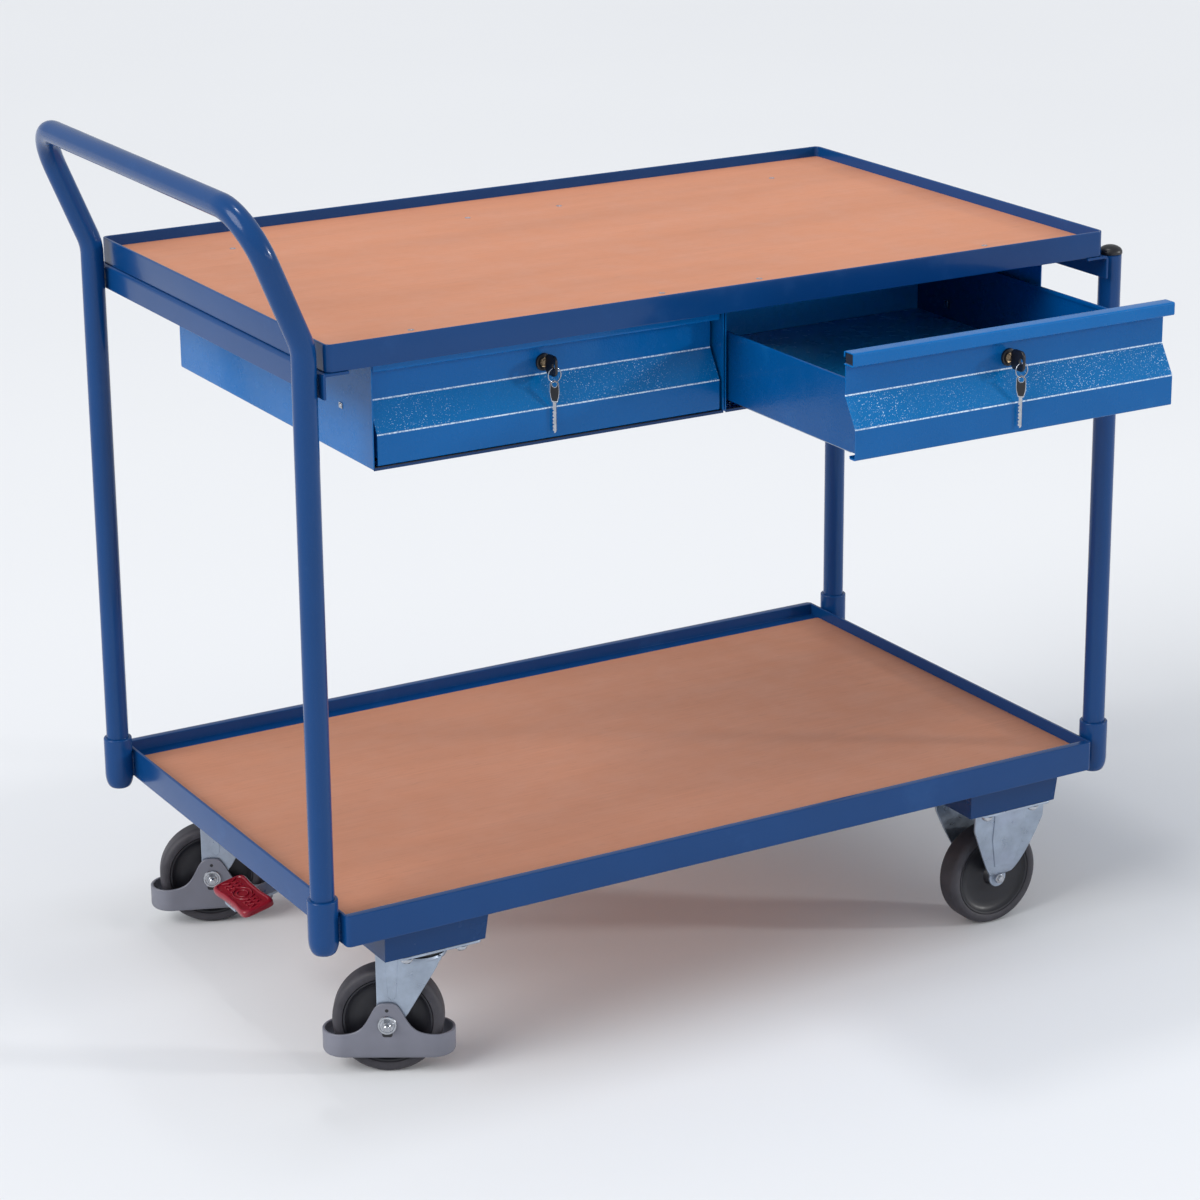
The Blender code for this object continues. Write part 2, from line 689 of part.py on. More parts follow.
def hanging_keys(axis, side):
    """A wire ring through the bow of the key, with the spare key hanging from it."""
    wire_height = -(KEY_HOLE - RING_WIRE - RING_PLAY)
    pivot = empty(f"key_ring_pivot_{side}", axis, (0, KEY_HOLE_PLACE, wire_height))
    section = [
        (RING_RADIUS + RING_WIRE * math.cos(a), RING_WIRE * math.sin(a))
        for a in (math.radians(60 * i) for i in range(6))
    ]
    ring = lathe(section, 24, along_y(0, 0, -RING_RADIUS), ring=True)
    solid(f"key_ring_{side}", ring, "zinc", pivot)
    hole_height = -2 * RING_RADIUS - (SPARE_HOLE - RING_WIRE - GAP)
    hang = empty(f"spare_key_hang_{side}", pivot, (0, 0, hole_height), Matrix.Rotation(SPARE_YAW, 4, "Z"))
    bow_half = 0.0055
    blade_half = 0.0033
    bow_foot = -0.0196
    blade_foot = -0.0541
    outline = arc((0, -0.0011), bow_half, 0, 180, 8)
    outline += [(-bow_half, bow_foot + 0.004), (-blade_half, bow_foot), (-blade_half, blade_foot + 0.003)]
    outline += [(0, blade_foot), (blade_half, blade_foot + 0.003)]
    outline += [(blade_half, bow_foot), (bow_half, bow_foot + 0.004)]
    plate = prism(outline, "X", -SPARE_THICK / 2, SPARE_THICK / 2)
    spare = solid(f"spare_key_{side}", plate, "black_plastic", hang)
    combine(spare, prism(arc((0, 0), SPARE_HOLE, 0, 330, 11), "X", -SPARE_THICK, SPARE_THICK), "DIFFERENCE")


def drawers(trolley):
    for side, centre in HOUSING_CENTRES.items():
        housing(trolley, side)
        guide_rails(trolley, side)
        drawer = empty(f"drawer_{side}", trolley, (centre, HOUSING_FRONT - DRAWER_OUT[side], 0))
        drawer_front(drawer, side)
        drawer_box(drawer, side)
        lock(drawer, side)


# ---- Castors -----------------------------------------------------------------------
def castor_channels(trolley):
    """A shallow pressed pan across the underside at each end, which the castors bolt to."""
    low = CASTOR_HEIGHT + GAP
    high = LOWER_BASE - GAP
    sheet = CHANNEL_SHEET
    for side, (start, end) in CHANNEL_RANGES.items():
        outline = [(start, low), (end - CHANNEL_TAPER, low), (end, high), (start, high)]
        pan = solid(f"castor_channel_{side}", prism(outline, "Y", CHANNEL_FRONT, CHANNEL_BACK), "blue_paint", trolley)
        inner = [
            (start + sheet, low + sheet),
            (end - CHANNEL_TAPER - sheet, low + sheet),
            (end - sheet, high + 0.010),
            (start + sheet, high + 0.010),
        ]
        combine(pan, prism(inner, "Y", CHANNEL_FRONT + sheet, CHANNEL_BACK - sheet), "DIFFERENCE")


def wheel(parent, name):
    """A tyre round a dished hub, turning about Y."""
    half = WHEEL_HALF
    tread = [
        (TYRE_INNER, -half + 0.001),
        (WHEEL_RADIUS - 0.006, -half),
        (WHEEL_RADIUS - 0.0015, -half + 0.004),
        (WHEEL_RADIUS, -half + 0.009),
        (WHEEL_RADIUS, half - 0.009),
        (WHEEL_RADIUS - 0.0015, half - 0.004),
        (WHEEL_RADIUS - 0.006, half),
        (TYRE_INNER, half - 0.001),
    ]
    disc = [
        (AXLE_RADIUS + GAP, -0.0180),
        (0.0120, -0.0180),
        (0.0150, -0.0060),
        (0.0400, -0.0060),
        (0.0440, -half + 0.002),
        (HUB_OUTER, -half + 0.002),
        (HUB_OUTER, half - 0.002),
        (0.0440, half - 0.002),
        (0.0400, 0.0060),
        (0.0150, 0.0060),
        (0.0120, 0.0180),
        (AXLE_RADIUS + GAP, 0.0180),
    ]
    solid(f"tyre_{name}", lathe(tread, 28, along_y(0, 0, 0), ring=True), "tyre", parent)
    solid(f"wheel_hub_{name}", lathe(disc, 28, along_y(0, 0, 0), ring=True), "hub", parent)


def axle_profile(reach):
    """A bolt from tip to tip, with a washer and a nut outside each leg."""
    one_end = [(0.0, reach + 0.0095), (0.0065, reach + 0.0095), (0.0065, reach + 0.0020)]
    one_end += [(0.0115, reach + 0.0020), (0.0115, reach), (AXLE_RADIUS, reach)]
    return one_end + [(radius, -height) for radius, height in reversed(one_end)]


def bolt_hole(x, y_half, z, radius):
    profile = [(0.0, -y_half), (radius, -y_half), (radius, y_half), (0.0, y_half)]
    return lathe(profile, 16, along_y(x, 0, z))


def swivel_fork(castor, name):
    leg_foot = WHEEL_RADIUS - 0.020
    section = [
        (-FORK_OUTER, leg_foot),
        (-FORK_OUTER, CROWN_TOP),
        (FORK_OUTER, CROWN_TOP),
        (FORK_OUTER, leg_foot),
        (FORK_INNER, leg_foot),
        (FORK_INNER, CROWN_LOW),
        (-FORK_INNER, CROWN_LOW),
        (-FORK_INNER, leg_foot),
    ]
    fork = solid(f"castor_fork_{name}", prism(section, "X", -0.060, 0.040), "zinc", castor)
    boss = 0.0115
    side = [(-TRAIL - boss, CROWN_TOP + 0.002)]
    side += arc((-TRAIL, WHEEL_RADIUS), boss, 180, 335, 6)
    side += [(-0.011, 0.075), (0.0215, 0.131), (0.0245, 0.140)]
    side += [(0.030, CROWN_LOW), (0.030, CROWN_TOP + 0.002)]
    combine(fork, prism(side, "Y", -0.030, 0.030), "INTERSECT")
    crown = [(0.0, CROWN_LOW), (CROWN_RADIUS, CROWN_LOW), (CROWN_RADIUS, CROWN_TOP), (0.0, CROWN_TOP)]
    combine(fork, lathe(crown, 28), "UNION")
    combine(fork, bolt_hole(-TRAIL, 0.030, WHEEL_RADIUS, AXLE_RADIUS + GAP), "DIFFERENCE")
    low, high = CROWN_LOW - 0.006, CROWN_TOP + 0.006
    pin = [(0.0, low), (0.0063, low), (0.0063, high), (0.0, high)]
    combine(fork, lathe(pin, 16), "DIFFERENCE")


def guard_height(x):
    """The guard's upper edge: a bell over the bolt that settles to the band's height."""
    fall = 1 + (abs(x) / GUARD_HUMP_WIDTH) ** GUARD_HUMP_POWER
    return GUARD_BAND_TOP + (GUARD_HUMP_TOP - GUARD_BAND_TOP) / fall


def guard_plan(inset):
    """The guard seen from above, an oval with straight sides, as (x, y) points."""
    radius = GUARD_HALF_WIDTH
    straight = GUARD_HALF_LENGTH - radius
    steps = 12
    run = [straight - 2 * straight * i / steps for i in range(steps)]
    plan = [(x, radius - inset) for x in run]
    plan += arc((-straight, 0), radius - inset, 90, 270, 7)
    plan += [(-x, -(radius - inset)) for x in run[1:]]
    return plan + arc((straight, 0), radius - inset, -90, 83, 7)


def castor_guard(castor, name):
    bm = bmesh.new()
    stations = []
    for outer, inner in zip(guard_plan(0.0), guard_plan(GUARD_WALL)):
        top = guard_height(outer[0])
        corners = ((outer, GUARD_LOW), (outer, top), (inner, top), (inner, GUARD_LOW))
        stations.append([bm.verts.new((x - TRAIL, y, z)) for (x, y), z in corners])
    for one, other in zip(stations, stations[1:] + stations[:1]):
        for i in range(4):
            j = (i + 1) % 4
            bm.faces.new((one[i], one[j], other[j], other[i]))
    guard = solid(f"castor_guard_{name}", bm, "guard", castor)
    combine(guard, bolt_hole(-TRAIL, 0.040, WHEEL_RADIUS, AXLE_RADIUS + GAP), "DIFFERENCE")


def castor_head(place, name):
    """The plate under the channel, with the upper ball race and the king pin."""
    profile = [
        (0.0, 0.144),
        (0.009, 0.144),
        (0.009, CROWN_LOW - GAP),
        (0.006, CROWN_LOW - GAP),
        (0.006, CROWN_TOP + GAP),
        (0.022, CROWN_TOP + GAP),
        (0.027, CROWN_TOP + 0.003),
        (0.027, CASTOR_HEIGHT - PLATE_THICK / 2),
        (0.0, CASTOR_HEIGHT - PLATE_THICK / 2),
    ]
    half = (PLATE_LENGTH / 2, PLATE_DEPTH / 2)
    outline = rounded_rectangle((-half[0], -half[1]), half, 0.008, 2)
    plate = prism(outline, "Z", CASTOR_HEIGHT - PLATE_THICK, CASTOR_HEIGHT)
    head = solid(f"castor_head_{name}", plate, "zinc", place)
    combine(head, lathe(profile, 20), "UNION")


def swivel_castor(trolley, end, y):
    name = f"{end}_left"
    place = empty(f"castor_place_{name}", trolley, (SWIVEL_X, y, 0))
    castor_head(place, name)
    castor = empty(f"castor_swivel_{name}", place, (0, 0, 0), Matrix.Rotation(SWIVEL_YAWS[end], 4, "Z"))
    swivel_fork(castor, name)
    castor_guard(castor, name)
    axle = lathe(axle_profile(GUARD_HALF_WIDTH + GAP), 16, along_y(-TRAIL, 0, WHEEL_RADIUS))
    solid(f"castor_axle_{name}", axle, "zinc", castor)
    wheel(empty(f"wheel_axis_{name}", castor, (-TRAIL, 0, WHEEL_RADIUS)), name)


def leg_row(z):
    """Half the leg's width at a height, and how far its outer face stands from the middle."""
    if z < WHEEL_RADIUS:
        return math.sqrt(LEG_BOSS**2 - (WHEEL_RADIUS - z) ** 2), FORK_OUTER
    climb = min(1.0, max(0.0, (z - LEG_KNEE) / (LEG_SHOULDER - LEG_KNEE)))
    flare = math.sin(math.pi / 2 * climb)
    half = LEG_BOSS + (LEG_HALF - LEG_BOSS) * flare
    return half, FORK_OUTER + (LEG_SPREAD - FORK_OUTER) * flare**LEG_SPREAD_POWER


def flared_leg(sign):
    """A pressed leg, narrow at the axle and as wide as the plate at its top."""
    heights = [WHEEL_RADIUS - LEG_BOSS * math.sin(math.radians(a)) for a in (82, 62, 42, 21, 0)]
    steps = 8
    heights += [LEG_KNEE + (LEG_SHOULDER - LEG_KNEE) * i / steps for i in range(steps + 1)]
    heights.append(CASTOR_HEIGHT - PLATE_THICK / 2)
    sheet = FORK_OUTER - FORK_INNER
    bm = bmesh.new()
    rows = []
    for z in heights:
        half, out = leg_row(z)
        corners = ((-half, out), (half, out), (half, out - sheet), (-half, out - sheet))
        rows.append([bm.verts.new((x, sign * y, z)) for x, y in corners])
    for one, other in zip(rows, rows[1:]):
        for i in range(4):
            j = (i + 1) % 4
            bm.faces.new((one[i], one[j], other[j], other[i]))
    bm.faces.new(rows[0])
    bm.faces.new(rows[-1])
    return bm


def fixed_castor(trolley, end, y):
    """A pressed bracket whose two legs hold the axle bolt directly."""
    name = f"{end}_right"
    place = empty(f"castor_place_{name}", trolley, (FIXED_X, y, 0))
    half = (PLATE_LENGTH / 2, PLATE_DEPTH / 2)
    outline = rounded_rectangle((-half[0], -half[1]), half, 0.008, 2)
    plate = prism(outline, "Z", CASTOR_HEIGHT - PLATE_THICK, CASTOR_HEIGHT)
    bracket = solid(f"fixed_castor_bracket_{name}", plate, "zinc", place)
    for sign in (-1, 1):
        combine(bracket, flared_leg(sign), "UNION")
    bolt = lathe(axle_profile(FORK_OUTER - 0.0005), 16, along_y(0, 0, WHEEL_RADIUS))
    combine(bracket, bolt, "UNION")
    wheel(empty(f"wheel_axis_{name}", place, (0, 0, WHEEL_RADIUS)), name)


def castors(trolley):
    castor_channels(trolley)
    for end, y in (("front", CASTOR_INSET), ("rear", TRAY_DEPTH - CASTOR_INSET)):
        swivel_castor(trolley, end, y)
        fixed_castor(trolley, end, y)


# ---- Foot brake --------------------------------------------------------------------
def pedal_outline():
    """The pad seen from above: a waisted rectangle with rounded corners."""
    middle = -(PEDAL_NEAR + PEDAL_FAR) / 2
    reach = (PEDAL_FAR - PEDAL_NEAR) / 2
    outline = []
    for x, y in arc((0, 0), 1, 7.5, 352.5, 23):
        along = math.copysign(abs(x) ** (2 / PEDAL_CORNER_POWER), x)
        across = math.copysign(abs(y) ** (2 / PEDAL_CORNER_POWER), y)
        half = reach - PEDAL_WAIST * (1 - across**2)
        outline.append((middle + along * half, across * PEDAL_HALF))
    return outline


def foot_brake(trolley):
    middle = (SHAFT_START + SHAFT_END) / 2
    half_length = (SHAFT_END - SHAFT_START) / 2
    for end, y in BRACKET_PLACES.items():
        low = (SHAFT_X - 0.014, y - 0.002, SHAFT_Z - 0.011)
        plate = box(low, (SHAFT_X + 0.014, y + 0.002, CASTOR_HEIGHT))
        hanger = solid(f"brake_bracket_{end}", plate, "zinc", trolley)
        bore = [(0.0, -0.010), (SHAFT_RADIUS + GAP, -0.010), (SHAFT_RADIUS + GAP, 0.010), (0.0, 0.010)]
        combine(hanger, lathe(bore, 16, along_y(SHAFT_X, y, SHAFT_Z)), "DIFFERENCE")
    turn = Matrix.Rotation(-PEDAL_TILT, 4, "Y")
    pivot = empty("brake_pivot", trolley, (SHAFT_X, middle, SHAFT_Z), turn)
    rod = [(0.0, -half_length), (SHAFT_RADIUS, -half_length), (SHAFT_RADIUS, half_length), (0.0, half_length)]
    shaft = solid("brake_shaft", lathe(rod, 16, along_y(0, 0, 0)), "zinc", pivot)
    lever = box((-PEDAL_FAR + 0.004, -LEVER_HALF, -LEVER_THICK / 2), (0.002, LEVER_HALF, LEVER_THICK / 2))
    combine(shaft, lever, "UNION")
    base = LEVER_THICK / 2 + GAP
    solid("brake_pedal", prism(pedal_outline(), "Z", base, base + PEDAL_THICK), "pedal", pivot)


def build():
    clear_scene()
    trolley = empty("trolley", None, (-CENTRE_X, -CENTRE_Y, 0))
    lower_tray(trolley)
    upper_tray(trolley)
    handle_and_posts(trolley)
    cross_rails(trolley)
    drawers(trolley)
    castors(trolley)
    foot_brake(trolley)


build()
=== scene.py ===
"""The looks of the two-deck table trolley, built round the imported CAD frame."""

import json
import math

import bmesh
import bpy
from mathutils import Matrix, Vector


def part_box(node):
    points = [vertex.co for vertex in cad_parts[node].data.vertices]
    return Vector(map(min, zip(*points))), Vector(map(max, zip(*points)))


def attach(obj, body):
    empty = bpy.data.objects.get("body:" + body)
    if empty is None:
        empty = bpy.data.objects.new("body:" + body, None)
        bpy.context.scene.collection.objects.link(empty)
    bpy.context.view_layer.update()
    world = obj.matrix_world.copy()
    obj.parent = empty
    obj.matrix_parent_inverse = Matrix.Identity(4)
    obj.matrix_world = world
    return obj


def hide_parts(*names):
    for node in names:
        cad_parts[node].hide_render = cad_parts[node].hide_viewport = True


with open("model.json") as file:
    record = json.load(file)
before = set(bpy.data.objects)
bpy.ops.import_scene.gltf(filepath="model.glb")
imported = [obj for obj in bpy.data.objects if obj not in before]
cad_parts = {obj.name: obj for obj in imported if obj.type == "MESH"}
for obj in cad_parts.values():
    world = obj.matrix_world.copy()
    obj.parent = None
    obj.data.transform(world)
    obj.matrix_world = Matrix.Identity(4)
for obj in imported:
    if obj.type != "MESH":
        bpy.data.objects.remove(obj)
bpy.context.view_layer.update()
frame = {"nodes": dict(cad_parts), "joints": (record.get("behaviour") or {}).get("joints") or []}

# ---- Sizes in metres that the frame's boxes don't give ------------------------------
TUBE_RADIUS = 0.01325
HANDLE_RISE = 0.1453
TRAY_BEND_RADIUS = 0.060
HANDLE_BEND_RADIUS = 0.0575
CREASE_CORE = 0.0004
CREASE_REACH = 0.0010
SHARP_ANGLE = math.radians(32)
MERGE = 0.000002

FRONT_SHEET = 0.0012
FRONT_LOW = 0.714
FRONT_KNEE = 0.748
FRONT_UPPER = 0.781
FRONT_STEP = 0.8156
FRONT_TOP = 0.8299
FACET_SETBACK = 0.0197
LIP_SETBACK = 0.0029
LIP_DEPTH = 0.0178
LIP_OVERHANG = 0.002
LOCK_HEIGHT = 0.7937
KEY_HOLE_OUT = -0.024
SPARE_KEY_YAW = math.radians(38)
TAB_BACK = 0.0731
TAB_HEIGHT = 0.7645
PEDAL_TILT = math.radians(-13)

CASTOR_HEIGHT = 0.165
TRAIL = 0.035
WHEEL_RADIUS = 0.0625
WHEEL_HALF = 0.016
FORK_INNER = 0.019
FORK_OUTER = 0.022
CROWN_TOP = 0.151
CROWN_LOW = 0.148
CROWN_RADIUS = 0.032
DISC_LOW = 0.1418
DISC_TOP = 0.1448
LEG_BOSS = 0.012
LEG_KNEE = 0.066
LEG_SHOULDER = 0.150
LEG_HALF = 0.0505
LEG_SPREAD = 0.0425
LEG_SPREAD_POWER = 0.45
GUARD_HALF_LENGTH = 0.0745
GUARD_HALF_WIDTH = 0.0262
GUARD_WALL = 0.0036
GUARD_LOW = 0.022
GUARD_BAND_TOP = 0.049
GUARD_HUMP_TOP = 0.088
GUARD_HUMP_WIDTH = 0.0215
GUARD_HUMP_POWER = 4


# ---- Materials ---------------------------------------------------------------------
class Nodes:
    """A material's node tree, with a Principled shader and short ways to add to it."""

    def __init__(self, name):
        self.material = bpy.data.materials.new(name)
        self.material.use_nodes = True
        self.tree = self.material.node_tree
        self.shader = self.tree.nodes["Principled BSDF"]
        self.place = self.add("ShaderNodeTexCoord").outputs["Object"]

    def add(self, kind, values=None, **settings):
        made = self.tree.nodes.new(kind)
        for key, value in settings.items():
            setattr(made, key, value)
        for key, value in (values or {}).items():
            self.put(value, made.inputs[key])
        return made

    def put(self, value, socket):
        if isinstance(value, bpy.types.NodeSocket):
            self.tree.links.new(value, socket)
        else:
            socket.default_value = value

    def set(self, **values):
        for key, value in values.items():
            self.put(value, self.shader.inputs[key.replace("_", " ")])

    def stretched(self, scale):
        return self.add("ShaderNodeMapping", {"Vector": self.place, "Scale": scale}).outputs["Vector"]

    def noise(self, scale, detail=2.0, rough=0.5, where=None):
        values = {"Vector": where or self.place, "Scale": scale, "Detail": detail, "Roughness": rough}
        return self.add("ShaderNodeTexNoise", values).outputs["Fac"]

    def ramp(self, source, stops):
        made = self.add("ShaderNodeValToRGB", {"Fac": source})
        elements = made.color_ramp.elements
        while len(elements) < len(stops):
            elements.new(0.5)
        for element, (position, colour) in zip(elements, stops):
            element.position = position
            element.color = colour if len(colour) == 4 else (*colour, 1.0)
        return made.outputs["Color"]

    def span(self, source, low, high, start=0.3, end=0.7):
        values = {"Value": source, "From Min": start, "From Max": end, "To Min": low, "To Max": high}
        return self.add("ShaderNodeMapRange", values).outputs["Result"]

    def mix(self, amount, one, other, blend="MIX"):
        made = self.add("ShaderNodeMix", data_type="RGBA", blend_type=blend)
        self.put(amount, made.inputs[0])
        self.put(one, made.inputs[6])
        self.put(other, made.inputs[7])
        return made.outputs[2]

    def bump(self, height, strength, distance, under=None):
        values = {"Height": height, "Strength": strength, "Distance": distance}
        if under is not None:
            values["Normal"] = under
        return self.add("ShaderNodeBump", values).outputs["Normal"]

    def math(self, operation, one, other):
        made = self.add("ShaderNodeMath", {0: one, 1: other}, operation=operation)
        return made.outputs["Value"]

    def distance(self, one, other):
        return self.math("ABSOLUTE", self.math("SUBTRACT", one, other), 0.0)

    def edges(self, start, end):
        """One where the surface turns sharply outwards, zero on its flats."""
        point = self.add("ShaderNodeNewGeometry").outputs["Pointiness"]
        return self.span(point, 0.0, 1.0, start, end)


def shade(colour, factor):
    return tuple(min(1.0, part * factor) for part in colour[:3]) + (1.0,)


def powder_coat(name, colour, peel, gloss):
    """Powder coat: fine orange peel, slow shifts of tone, paler rubbed patches and a trace of dust."""
    made = Nodes(name)
    slow = made.noise(6.0, 3.0, 0.6)
    tone = made.ramp(slow, [(0.25, shade(colour, 0.93)), (0.75, shade(colour, 1.06))])
    rubbed = made.span(made.noise(13.0, 4.0, 0.65), 0.0, 0.16, 0.60, 0.80)
    marked = made.mix(rubbed, tone, (0.045, 0.150, 0.380, 1.0))
    dust = made.span(made.noise(900.0, 3.0, 0.6), 0.0, 0.035, 0.55, 0.80)
    made.set(Base_Color=made.mix(dust, marked, (0.25, 0.33, 0.42, 1.0)))
    made.set(Roughness=made.span(made.noise(26.0, 3.0), gloss - 0.03, gloss + 0.05))
    waves = made.noise(520.0, 2.0, 0.45)
    first = made.bump(waves, peel, 0.00020)
    made.set(Normal=made.bump(made.noise(1800.0, 2.0, 0.5), peel * 0.5, 0.00006, first))
    made.set(Specular_IOR_Level=0.22, Coat_Weight=0.12, Coat_Roughness=0.06)
    return made.material


def painted_crease_light(made, under, creases):
    """Painted light on a creased front: pale broken highlight lines along its level creases, bright painted
    glints on the facet between them, painted light on that facet and painted shade on the others.
    """
    height = made.add("ShaderNodeSeparateXYZ", {"Vector": made.place}).outputs["Z"]
    broken = made.span(made.noise(600.0, 2.0, 0.6), 0.35, 1.0, 0.38, 0.55)
    middle = sum(creases) / 2
    half = abs(creases[1] - creases[0]) / 2
    facet = made.span(made.distance(height, middle), 1.0, 0.0, half - 0.002, half)
    # Painted shade darkens the facets outside the creases; painted light gives the slanted facet between them
    # a lighter blue.
    shaded = made.mix(0.16, under, (0.0, 0.02, 0.10, 1.0))
    painted_lit_facet = made.mix(0.30, under, (0.0, 0.200, 0.470, 1.0))
    tone = made.mix(facet, shaded, painted_lit_facet)
    # Each crease gets a broken pale line, a painted highlight.
    for level in creases:
        line = made.span(made.distance(height, level), 1.0, 0.0, CREASE_CORE, CREASE_REACH)
        tone = made.mix(made.math("MULTIPLY", line, broken), tone, (0.72, 0.86, 1.0, 1.0))
    # Bright points on the slanted facet are painted glints.
    painted_glints = made.span(made.noise(800.0, 1.0, 0.4), 0.0, 1.0, 0.675, 0.70)
    thick = made.span(made.noise(9.0, 2.0), 0.1, 1.0, 0.45, 0.62)
    shown = made.math("MULTIPLY", made.math("MULTIPLY", facet, painted_glints), thick)
    return made.mix(shown, tone, (0.60, 0.80, 1.0, 1.0))


def sparkling_coat(name, colour, creases=()):
    """The drawers' coat: a deeper blue with coarse peel and paler rubbed patches; given creases, it also
    carries painted highlights and glints along them and painted light and shade on its facets.
    """
    made = Nodes(name)
    slow = made.noise(5.0, 3.0, 0.6)
    tone = made.ramp(slow, [(0.25, shade(colour, 0.91)), (0.75, shade(colour, 1.08))])
    rubbed = made.span(made.noise(12.0, 4.0, 0.65), 0.0, 0.18, 0.60, 0.80)
    marked = made.mix(rubbed, tone, (0.030, 0.220, 0.480, 1.0))
    # Given creases, painted highlights, glints and painted facet light and shade are laid over the coat.
    if creases:
        marked = painted_crease_light(made, marked, creases)
    made.set(Base_Color=marked)
    made.set(Roughness=made.span(made.noise(60.0, 3.0), 0.20, 0.30))
    values = {"Vector": made.place, "Scale": 560.0}
    domes = made.add("ShaderNodeTexVoronoi", values, feature="SMOOTH_F1").outputs["Distance"]
    first = made.bump(domes, 0.30, 0.00050)
    made.set(Normal=made.bump(made.noise(900.0, 2.0), 0.12, 0.00015, first))
    made.set(Specular_IOR_Level=0.20, Coat_Weight=0.08, Coat_Roughness=0.05)
    return made.material


def beech_board(name, colour):
    """Beech-pattern board: long soft figure, short dark rays, rubbed patches, satin lacquer."""
    made = Nodes(name)
    figure = made.noise(3.2, 4.0, 0.55, made.stretched((0.55, 3.4, 1.0)))
    fibres = made.noise(34.0, 5.0, 0.65, made.stretched((0.22, 9.0, 4.0)))
    rays = made.noise(150.0, 2.0, 0.5, made.stretched((0.35, 2.6, 2.0)))
    patches = made.noise(2.1, 2.0, 0.5)
    base = made.ramp(figure, [(0.25, shade(colour, 0.90)), (0.5, colour), (0.78, shade(colour, 1.09))])
    grain = made.mix(made.span(fibres, 0.0, 0.30), base, shade(colour, 0.74))
    flecks = made.mix(made.span(rays, 0.0, 0.22, 0.60, 0.74), grain, shade(colour, 0.56))
    rubbed = made.mix(made.span(patches, 0.0, 0.16, 0.45, 0.75), flecks, (0.64, 0.290, 0.180, 1.0))
    made.set(Base_Color=rubbed)
    made.set(Roughness=made.span(made.noise(24.0, 3.0), 0.42, 0.60))
    first = made.bump(fibres, 0.12, 0.00025)
    made.set(Normal=made.bump(made.noise(700.0, 2.0), 0.06, 0.00010, first))
    made.set(Specular_IOR_Level=0.20)
    return made.material


def zinc(name, colour, low, high):
    """Bright zinc plating: bluish, cloudy, faintly tinted, with fine drawing lines."""
    made = Nodes(name)
    cloud = made.noise(45.0, 4.0, 0.6)
    base = made.ramp(cloud, [(0.28, shade(colour, 0.80)), (0.55, colour), (0.80, shade(colour, 1.22))])
    tint = made.mix(made.span(made.noise(18.0, 2.0), 0.0, 0.22, 0.5, 0.75), base, (0.40, 0.42, 0.58, 1.0))
    made.set(Base_Color=tint, Roughness=made.span(made.noise(90.0, 4.0), low, high))
    lines = made.noise(260.0, 3.0, 0.6, made.stretched((1.0, 1.0, 0.10)))
    first = made.bump(lines, 0.10, 0.00015)
    made.set(Normal=made.bump(cloud, 0.10, 0.00060, first), Metallic=0.85)
    return made.material


def tyre_rubber(name, colour):
    """Grey rubber: matt, scuffed and dusty, with fine turning lines round the axle."""
    made = Nodes(name)
    scuff = made.noise(70.0, 5.0, 0.7)
    tone = made.ramp(scuff, [(0.30, shade(colour, 0.72)), (0.70, shade(colour, 1.25))])
    dust = made.mix(made.span(made.noise(22.0, 3.0), 0.0, 0.30, 0.5, 0.8), tone, (0.115, 0.112, 0.125, 1.0))
    made.set(Base_Color=dust, Roughness=made.span(scuff, 0.48, 0.72))
    first = made.bump(made.noise(900.0, 3.0, 0.6), 0.18, 0.00015)
    made.set(Normal=made.bump(scuff, 0.12, 0.00040, first), Specular_IOR_Level=0.40)
    return made.material


def plastic(name, colour, low, high, grain, pale=1.35):
    """Moulded plastic: eroded grain, gentle flow marks and paler sharp edges."""
    made = Nodes(name)
    flow = made.noise(14.0, 3.0, 0.6)
    tone = made.ramp(flow, [(0.28, shade(colour, 0.84)), (0.74, shade(colour, 1.14))])
    marked = made.mix(made.edges(0.52, 0.64), tone, shade(colour, pale))
    made.set(Base_Color=marked, Roughness=made.span(made.noise(120.0, 4.0), low, high))
    first = made.bump(made.noise(1300.0, 2.0, 0.6), grain, 0.00012)
    made.set(Normal=made.bump(flow, 0.05, 0.00080, first))
    return made.material


def bright_metal(name, colour, low, high):
    """Turned and plated metal: fine rings of tool marks, smudges and small dark pits."""
    made = Nodes(name)
    smudge = made.noise(180.0, 4.0, 0.65)
    tone = made.ramp(smudge, [(0.30, shade(colour, 0.72)), (0.72, shade(colour, 1.10))])
    pits = made.mix(made.span(made.noise(800.0, 2.0), 0.0, 0.5, 0.62, 0.80), tone, shade(colour, 0.35))
    made.set(Base_Color=pits, Roughness=made.span(smudge, low, high), Metallic=1.0)
    made.set(Normal=made.bump(made.noise(1500.0, 2.0), 0.10, 0.00008))
    return made.material


def pale_floor(name):
    made = Nodes(name)
    tone = made.ramp(made.noise(0.6, 2.0), [(0.3, (0.784, 0.794, 0.816)), (0.7, (0.796, 0.806, 0.827))])
    made.set(Base_Color=tone, Roughness=0.9, Specular_IOR_Level=0.1)
    return made.material


BLUE = powder_coat("blue_powder_coat", (0.003, 0.047, 0.175), 0.05, 0.20)
# A darker copy of the blue coat, painted shade for the carriers under the lower tray and the housings' lower
# front edges.
SHADE_BLUE = powder_coat("carrier_painted_shade", (0.001, 0.034, 0.130), 0.05, 0.24)
DRAWER_BLUE = sparkling_coat("drawer_powder_coat", (0.0, 0.122, 0.390))
# The drawer fronts' coat, with painted crease highlights, glints and painted facet light and shade.
DRAWER_FRONT = sparkling_coat("drawer_front_coat", (0.0, 0.122, 0.390), (FRONT_KNEE, FRONT_UPPER))
# A darker copy of the drawer coat, painted shade on the drawers' side walls.
DRAWER_WALL_SHADE = sparkling_coat("drawer_wall_painted_shade", (0.0, 0.062, 0.220))
